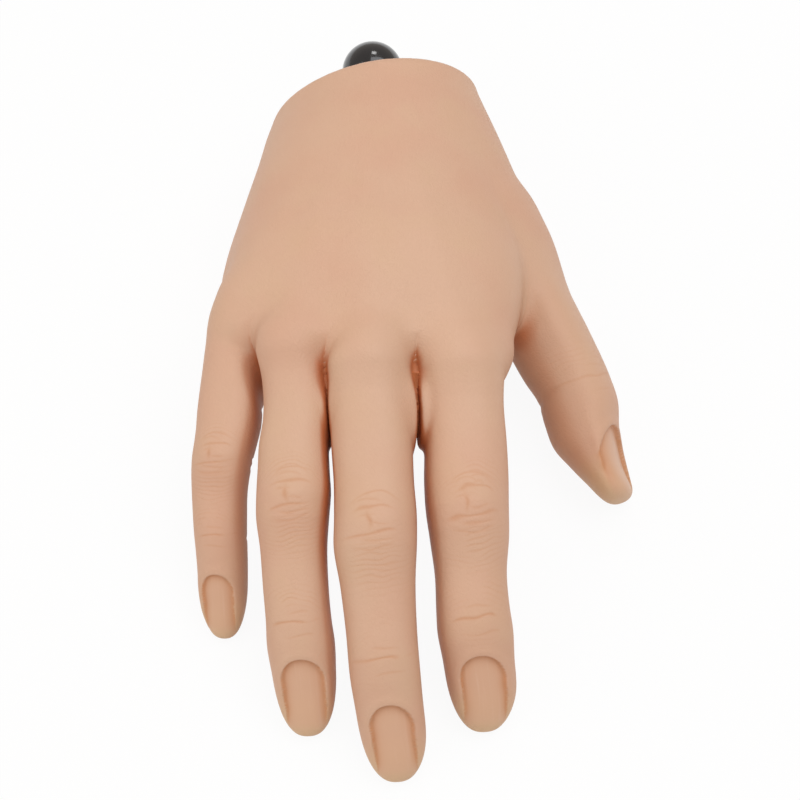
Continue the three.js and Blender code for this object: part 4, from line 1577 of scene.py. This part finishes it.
@dataclass(frozen=True)
class SiliconeFinish:
    """Soft matt skin-toned silicone, with painted shade in its creases, folds, nail recesses, on
    its sides and undersides and where skin is near other skin, and a painted highlight on the
    nails' streaks.
    """

    base: Tint = (214, 175, 148)
    rosy: Tint = (211, 164, 138)
    sallow: Tint = (213, 177, 145)
    # Painted shade in the folds under the joints and in the palm's lines.
    fold: Tint = (168, 92, 46)
    # Painted shade in the creases and fine lines over the joints.
    line: Tint = (196, 132, 88)
    # Painted shade on the nail recess's wall.
    wall: Tint = (196, 130, 82)
    # Painted shade where skin is near other skin and on the digits' sides.
    close: Tint = (190, 110, 64)
    nail: Tint = (217, 174, 145)
    # Painted highlight along the nails' streaks.
    streak: Tint = (222, 184, 158)
    tip: Tint = (217, 184, 143)
    # A warmer tone on the pad side, which also stands in for painted shade on the undersides.
    pad: Tint = (208, 152, 118)
    roughness: float = 0.5
    nail_roughness: float = 0.36

    def build(self) -> bpy.types.Material:
        """Builds the material."""
        m = Maker("silicone_skin")
        place, nail, line = m.place(), m.read("nail"), m.read("line")
        grain = m.noise(place, 900.0, 3.0, 0.6)
        streaks = self.streaks(m)
        layers = (
            (m.stepped(m.noise(place, 34.0, 3.0), 0.38, 0.68, 0.55), self.rosy),
            (m.stepped(m.noise(place, 85.0, 2.0), 0.45, 0.75, 0.35), self.sallow),
            # Pad side: warmer tone and painted shade on the undersides.
            (m.read("pad") * 0.55, self.pad),
            (m.read("tip") * 0.6, self.tip),
            (nail * 0.75, self.nail),
            # Painted highlight on the nails' streaks.
            (m.stepped(streaks, 0.52, 0.75) * nail * 0.5, self.streak),
            # Painted shade on the digits' sides and where skin is near other skin.
            (m.read("flank") * 0.1, self.close),
            (m.stepped(m.read("close"), 0.42, 1.1), self.close),
            # Painted shade in the creases and lines over the joints.
            (line * 0.6, self.line),
            # Painted shade on the nail recess's wall.
            (m.read("wall") * 0.85, self.wall),
            # Painted shade in the folds under the joints and in the palm's lines.
            (m.read("fold") * 0.8, self.fold),
            (m.stepped(grain, 0.4, 0.8, 0.07), self.rosy),
        )
        colour = shade(*self.base)
        for share, tint in layers:
            colour = m.mixed(share, colour, shade(*tint))
        roughness = self.roughness + grain * 0.08 - nail * (self.roughness - self.nail_roughness)
        height = self.relief(m, place, grain) * (1.0 - nail * 0.85) + streaks * nail * 0.25
        return m.finish(
            Base_Color=colour,
            Roughness=roughness,
            Normal=m.bump(height, 0.00016, 0.5),
            Specular_IOR_Level=0.38,
        )

    @staticmethod
    def streaks(m: Maker) -> Value:
        """Soft streaks along the nails: ridges for the bump, and a painted highlight in the colour.
        """
        spot = {0: m.read("nail_across") * 1.1, 1: m.read("nail_along") * 0.06}
        return m.noise(m.node("ShaderNodeCombineXYZ", None, spot), 1.0, 2.0)

    @staticmethod
    def relief(m: Maker, place: Value, grain: Value) -> Value:
        """The skin's fine lozenges and grain."""
        push = m.node("ShaderNodeTexNoise", None, {"Vector": place, "Scale": 500.0}, 1)
        moved = {0: 0.0012, 4: place, 5: push}
        spot = m.node("ShaderNodeMix", {"data_type": "VECTOR"}, moved, output=1)
        cells = m.node(
            "ShaderNodeTexVoronoi",
            {"feature": "DISTANCE_TO_EDGE"},
            {"Vector": spot, "Scale": 950.0},
            output="Distance",
        )
        return m.stepped(cells, 0.0, 0.2, 0.3) + grain * 0.35


@dataclass(frozen=True)
class HardFinish:
    """A hard surface, clouded, with a fine grain: moulded plastic unless told otherwise.

    Grain and cloud are noises by scale, detail and roughness. Clouding and dulling are the
    levels at which they start and end, and how far they go.
    """

    name: str
    colour: Tint
    roughness: float
    grain: tuple[float, float, float] = (700.0, 3.0, 0.6)
    cloud: tuple[float, float, float] = (60.0, 2.0, 0.5)
    clouding: tuple[float, float, float] = (0.3, 0.8, 0.5)
    dark: float = 0.82
    dulling: tuple[float, float, float] = (0.3, 0.7, 0.12)
    relief: float = 0.00005
    metal: bool = False
    coat: float = 0.0
    coat_roughness: float = 0.06

    def build(self) -> bpy.types.Material:
        """Builds the material."""
        m = Maker(self.name)
        place = m.place()
        grain, cloud = m.noise(place, *self.grain), m.noise(place, *self.cloud)
        darker = tuple(int(c * self.dark) for c in self.colour)
        colour = m.mixed(m.stepped(cloud, *self.clouding), shade(*self.colour), shade(*darker))
        worn = cloud if self.metal else grain
        return m.finish(
            Base_Color=colour,
            Roughness=self.roughness + m.stepped(worn, *self.dulling),
            Metallic=float(self.metal),
            Coat_Weight=self.coat,
            Coat_Roughness=self.coat_roughness,
            Normal=m.bump(grain, self.relief, 0.25),
        )


STEEL = HardFinish(
    "pin_steel",
    (196, 198, 201),
    0.26,
    grain=(1500.0, 2.0, 0.5),
    cloud=(140.0, 3.0, 0.5),
    clouding=(0.45, 0.8, 0.6),
    dark=0.8,
    dulling=(0.4, 0.8, 0.2),
    relief=0.00003,
    metal=True,
    coat_roughness=0.03,
)


class Finish(Enum):
    """The finishes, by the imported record's slots."""

    SKIN = "silicone_skin"
    FRAME = "frame_nylon"
    LINK = "link_nylon"
    STEEL = "pin_steel"
    BALL = "ball_black"
    PLUG = "plug_black"


def build_finishes() -> dict[Finish, bpy.types.Material]:
    """Builds one material for each finish."""
    ball_grain = (900.0, 3.0, 0.6)
    finishes = {
        Finish.SKIN: SiliconeFinish(),
        Finish.FRAME: HardFinish("frame_nylon", (218, 214, 202), 0.42),
        Finish.LINK: HardFinish("link_nylon", (128, 132, 137), 0.4),
        Finish.STEEL: STEEL,
        Finish.BALL: HardFinish("ball_black", (22, 21, 25), 0.1, ball_grain, coat=0.6),
        Finish.PLUG: HardFinish("plug_black", (38, 38, 43), 0.48),
    }
    return {key: finish.build() for key, finish in finishes.items()}


def coated(obj: bpy.types.Object, finish: bpy.types.Material) -> None:
    """Gives an object one finish in place of its own."""
    obj.data.materials.clear()
    obj.data.materials.append(finish)


# Wrist end.


@dataclass
class WristEnd:
    """The plug in the wrist with its screws, nut and ball stud, drawn about the wrist's axis."""

    frame: HandFrame
    wrist: Wrist = Wrist()
    plug_half_width: float = 19.4
    plug_half_height: float = 12.6
    plug_depth: float = 6.0
    plug_power: float = 2.2
    plug_sides: int = 128
    ball_radius: float = 7.6
    ball_reach: float = 10.6
    ball_steps: int = 48
    neck: float = 0.86
    shank: float = 4.0
    shank_depth: float = 17.0
    nut_across: float = 6.4
    nut_thickness: float = 2.2
    nut_sunk: float = 0.2
    screw_head: float = 3.2
    screw_head_depth: float = 1.8
    screw_shank: float = 1.6
    screw_length: float = 14.0
    screw_offset: float = 13.5
    socket: float = 1.55
    socket_depth: float = 1.2
    gap: float = 0.3
    seat_gap: float = 0.4
    past: float = 2.0

    def placed(self, obj: bpy.types.Object) -> bpy.types.Object:
        """Moves a part from the wrist's axis to its place."""
        obj.data.transform(self.frame.matrix() @ self.wrist.frame())
        return obj

    def finished(self, obj: bpy.types.Object, angle: float = 0.6) -> bpy.types.Object:
        """Puts a part in place and shades it smooth, with its corners sharp."""
        mesh = self.placed(obj).data
        mesh.polygons.foreach_set("use_smooth", [True] * len(mesh.polygons))
        mesh.set_sharp_from_angle(angle=angle)
        return obj

    @staticmethod
    def bar(
        radius: float, low: float, high: float, sides: int = 64, x: float = 0.0
    ) -> bmesh.types.BMesh:
        """A round or cornered bar along the wrist's axis."""
        bm = bmesh.new()
        spot = Matrix.Translation((x, (low + high) / 2, 0)) @ Matrix.Rotation(math.pi / 2, 4, "X")
        size = {"radius1": radius, "radius2": radius, "depth": high - low}
        bmesh.ops.create_cone(bm, cap_ends=True, segments=sides, matrix=spot, **size)
        return bm

    def oval(self, grow: float, low: float, high: float) -> bmesh.types.BMesh:
        """The plug's oval between two depths."""
        bm = bmesh.new()
        made = bmesh.ops.create_circle(bm, cap_ends=True, segments=self.plug_sides, radius=1.0)
        e = 2 / self.plug_power
        for vert in made["verts"]:
            c, s = vert.co.x, vert.co.y
            x = math.copysign(abs(c) ** e, c) * (self.plug_half_width + grow)
            z = math.copysign(abs(s) ** e, s) * (self.plug_half_height + grow)
            vert.co = (x, low, z)
        pushed = bmesh.ops.extrude_face_region(bm, geom=list(bm.faces))
        verts = [v for v in pushed["geom"] if isinstance(v, bmesh.types.BMVert)]
        bmesh.ops.translate(bm, verts=verts, vec=(0, high - low, 0))
        bmesh.ops.recalc_face_normals(bm, faces=bm.faces)
        return bm

    @staticmethod
    def soften(bm: bmesh.types.BMesh, width: float, flat: float = 0.7) -> None:
        """Rounds a solid's sharp edges."""
        edges = [e for e in bm.edges if len(e.link_faces) == 2 and e.calc_face_angle() > flat]
        ways = {"profile": 0.5, "affect": "EDGES", "material": -1, "clamp_overlap": True}
        bmesh.ops.bevel(bm, geom=edges, offset=width, segments=3, **ways)

    @staticmethod
    def carved(obj: bpy.types.Object, cutters: Sequence[bpy.types.Object]) -> bpy.types.Object:
        """Cuts other solids out of one."""
        for cutter in cutters:
            cut = obj.modifiers.new("cut", "BOOLEAN")
            cut.operation, cut.solver, cut.object = "DIFFERENCE", "EXACT", cutter
        Mold.applied(obj)
        for cutter in cutters:
            Mold.drop(cutter)
        return obj

    def plug(self) -> bpy.types.Object:
        """The oval plug with its wells."""
        bm = self.oval(0.0, -self.plug_depth, 0.0)
        self.soften(bm, 0.5)
        obj = Mold.to_object("wrist_plug_oval", bm)
        deep = -self.plug_depth * 1.5
        well = -self.nut_sunk - self.nut_thickness - self.gap
        seat = -self.screw_head_depth - self.gap
        bores = [(self.shank, deep, 0.0), (self.nut_across, well, 0.0)]
        for x in (-self.screw_offset, self.screw_offset):
            bores += [(self.screw_shank, deep, x), (self.screw_head, seat, x)]
        bars = [self.bar(size + self.gap, low, self.past, x=x) for size, low, x in bores]
        return self.finished(self.carved(obj, [Mold.to_object("cut", bar) for bar in bars]))

    def stud(self) -> bpy.types.Object:
        """The polished ball on its necked shank."""
        neck = self.shank * self.neck
        meet = self.ball_reach - math.sqrt(self.ball_radius**2 - neck**2)
        profile = [(0.0, -self.shank_depth), (self.shank - 0.5, -self.shank_depth)]
        profile += [(self.shank, -self.shank_depth + 0.5), (self.shank, 0.4), (neck, 1.2)]
        start = math.atan2(neck, meet - self.ball_reach)
        for step in range(self.ball_steps + 1):
            angle = start * (1 - step / self.ball_steps)
            spot = self.ball_radius * math.sin(angle)
            profile.append((spot, self.ball_reach + self.ball_radius * math.cos(angle)))
        bm = bmesh.new()
        verts = [bm.verts.new((x, y, 0)) for x, y in profile]
        edges = [bm.edges.new(pair) for pair in zip(verts, verts[1:])]
        turn = {"cent": (0, 0, 0), "axis": (0, 1, 0), "angle": 2 * math.pi, "use_merge": True}
        bmesh.ops.spin(bm, geom=[*verts, *edges], steps=2 * self.ball_steps, **turn)
        bmesh.ops.remove_doubles(bm, verts=bm.verts, dist=1e-4)
        bmesh.ops.recalc_face_normals(bm, faces=bm.faces)
        return self.finished(Mold.to_object("ball_on_stud", bm), 0.5)

    def nut(self) -> bpy.types.Object:
        """The hexagon nut sunk in the plug."""
        low, high = -self.nut_sunk - self.nut_thickness, -self.nut_sunk
        bm = self.bar(self.nut_across, low, high, sides=6)
        self.soften(bm, 0.25)
        obj = Mold.to_object("stud_nut_hexagon", bm)
        bore = Mold.to_object("cut", self.bar(self.shank + 0.05, low - 1, high + 1))
        return self.finished(self.carved(obj, [bore]), 0.4)

    def screw(self, side: str) -> bpy.types.Object:
        """A screw with a hexagon socket in its head."""
        x = self.screw_offset if side == "right" else -self.screw_offset
        head = self.bar(self.screw_head, -self.screw_head_depth, 0.0, x=x)
        self.soften(head, 0.3)
        obj = Mold.to_object(f"plug_screw_{side}_head", head)
        socket = self.bar(self.socket, -self.socket_depth, 1.0, sides=6, x=x)
        self.carved(obj, [Mold.to_object("cut", socket)])
        bm = bmesh.new()
        bm.from_mesh(obj.data)
        top = -self.screw_head_depth + 0.2
        Mold.add(bm, self.bar(self.screw_shank, -self.screw_length, top, 32, x))
        bm.to_mesh(obj.data)
        bm.free()
        return self.finished(obj)

    def seat(self, palm: bpy.types.Object) -> None:
        """Cuts the plug's seat into the palm's skin."""
        bm = self.oval(self.seat_gap, -self.plug_depth - self.seat_gap, 3.0)
        self.carved(palm, [self.placed(Mold.to_object("cut", bm))])

    def dress(self, finishes: dict[Finish, bpy.types.Material]) -> None:
        """Builds the wrist's pieces and ties them to the palm."""
        made = (
            (self.plug(), "wrist_plug", Finish.PLUG),
            (self.stud(), "ball_stud", Finish.BALL),
            (self.nut(), "stud_lock_nut", Finish.STEEL),
            (self.screw("left"), "plug_screw_left", Finish.STEEL),
            (self.screw("right"), "plug_screw_right", Finish.STEEL),
        )
        for obj, node, finish in made:
            coated(obj, finishes[finish])
            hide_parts(node)
            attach(obj, "palm")
            LOG.info("%s: %d faces", obj.name, len(obj.data.polygons))


# Studio.


@dataclass(frozen=True)
class Lamp:
    """A soft square lamp that points at the hand."""

    name: str
    place: tuple[float, float, float]
    size: float
    power: float
    tint: tuple[float, float, float] = (1.0, 1.0, 1.0)

    def build(self, target: Vector) -> None:
        """Hangs the lamp."""
        light = bpy.data.lights.new(self.name, "AREA")
        light.shape, light.size = "SQUARE", self.size
        light.energy, light.color = self.power, self.tint
        obj = bpy.data.objects.new(self.name, light)
        obj.location = self.place
        obj.rotation_euler = (target - Vector(self.place)).to_track_quat("-Z", "Y").to_euler()
        bpy.context.scene.collection.objects.link(obj)


@dataclass
class Studio:
    """Camera, floor, lamps and world."""

    elevation: float = 60.0
    distance: float = 480.0
    focal_pixels: float = 2107.0
    picture: int = 800
    target: tuple[float, float, float] = (5.6, -86.0, 25.0)
    sensor: float = 36.0
    nearest: float = 0.01
    floor_half: float = 3.0
    floor_tone: float = 0.9
    floor_glow: float = 0.93
    world_light: float = 0.52
    world_tint: tuple[float, float, float] = (1.0, 0.92, 0.84)
    aim: tuple[float, float, float] = (0.0, -0.01, 0.025)
    lamps: tuple[Lamp, ...] = (
        Lamp("key", (0.25, 0.0, 0.85), 0.7, 3.3, (0.98, 1.0, 1.05)),
        Lamp("side", (-0.6, -0.25, 0.5), 0.7, 1.6),
        Lamp("window", (0.05, 0.5, 0.62), 0.16, 0.5),
    )

    def camera(self, frame: HandFrame) -> None:
        """Sets the camera at the photograph's viewpoint."""
        a = math.radians(self.elevation)
        back = np.array([0.0, -math.cos(a), math.sin(a)])
        up = np.array([0.0, math.sin(a), math.cos(a)])
        place = frame.outward(np.array(self.target) + back * self.distance)
        z, y = frame.turn @ back, frame.turn @ up
        x = np.cross(y, z)
        data = bpy.data.cameras.new("camera")
        data.sensor_width, data.clip_start = self.sensor, self.nearest
        data.lens = self.focal_pixels / self.picture * data.sensor_width
        obj = bpy.data.objects.new("camera", data)
        rows = [[x[i], y[i], z[i], place[i]] for i in range(3)]
        obj.matrix_world = Matrix([*rows, [0, 0, 0, 1]])
        bpy.context.scene.collection.objects.link(obj)
        bpy.context.scene.camera = obj

    def floor(self) -> None:
        """Lays a plain pale floor."""
        bm = bmesh.new()
        bmesh.ops.create_grid(bm, x_segments=1, y_segments=1, size=self.floor_half)
        obj = Mold.to_object("floor", bm)
        m = Maker("floor_white")
        tone = (self.floor_tone, self.floor_tone, self.floor_tone, 1.0)
        m.finish(Base_Color=tone, Roughness=0.9, Specular_IOR_Level=0.1)
        glow = m.node("ShaderNodeEmission", None, {"Color": (1, 1, 1, 1), "Strength": 1.0})
        path = "ShaderNodeLightPath"
        seen = m.node(path, None, None, "Is Camera Ray") + m.node(path, None, None, "Is Glossy Ray")
        output = next(n for n in m.tree.nodes if n.type == "OUTPUT_MATERIAL")
        mix = m.node("ShaderNodeMixShader", None, {0: seen * self.floor_glow, 2: glow})
        m.tree.links.new(m.surface.outputs[0], mix.socket.node.inputs[1])
        m.tree.links.new(mix.socket, output.inputs[0])
        obj.data.materials.append(m.material)

    def world(self) -> None:
        """Gives an even light and a white background."""
        world = bpy.data.worlds.new("world")
        bpy.context.scene.world = world
        world.use_nodes = True
        tree = world.node_tree
        tree.nodes.clear()
        kinds = ("OutputWorld", "Background", "Background", "LightPath", "MixShader")
        output, sky, white, path, mix = (tree.nodes.new(f"ShaderNode{kind}") for kind in kinds)
        glows = ((sky, self.world_tint, self.world_light), (white, (1, 1, 1), 1.0))
        for glow, colour, strength in glows:
            glow.inputs["Color"].default_value = (*colour, 1)
            glow.inputs["Strength"].default_value = strength
        sources = (path.outputs["Is Camera Ray"], sky.outputs[0], white.outputs[0])
        for source, socket in zip(sources, mix.inputs):
            tree.links.new(source, socket)
        tree.links.new(mix.outputs[0], output.inputs[0])

    def build(self, frame: HandFrame) -> None:
        """Builds the whole studio."""
        self.camera(frame)
        self.floor()
        self.world()
        for lamp in self.lamps:
            lamp.build(Vector(self.aim))
        bpy.context.scene.view_settings.view_transform = "Standard"


# Putting it together.


# How far the hand's own frame is tipped at rest, in degrees, and the index knuckle in it.
REST_TILT = 2.3
INDEX_KNUCKLE = (0.2842 * 70.0, -1.0713 * 87.5, 0.6943 * 50.0)


def dress_nodes(
    nodes: dict[str, bpy.types.Object], record: dict, finishes: dict[Finish, bpy.types.Material]
) -> None:
    """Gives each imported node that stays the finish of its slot."""
    slots = {part["node"]: part["material_slot"] for part in record["subparts"]}
    for name, obj in nodes.items():
        coated(obj, finishes[Finish(slots[name])])


def main() -> None:
    """Builds the dressed hand."""
    logging.basicConfig(level=logging.INFO, format="%(name)s: %(message)s")
    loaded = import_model()
    joints = {joint["name"]: joint for joint in loaded["joints"]}
    frame = HandFrame.from_joint(REST_TILT, joints["index_knuckle"]["pos_m"], INDEX_KNUCKLE)
    Studio().build(frame)
    finishes = build_finishes()
    dress_nodes(loaded["nodes"], loaded["record"], finishes)
    skin = Skin(HandField(joints, frame), frame)
    skin.parted(skin.rough())
    skin.refined()
    skin.closed(skin.vertex_normals())
    skin.dress(finishes[Finish.SKIN])
    end = WristEnd(frame)
    end.seat(skin.pieces[0].obj)
    end.dress(finishes)


if __name__ == "__main__":
    main()
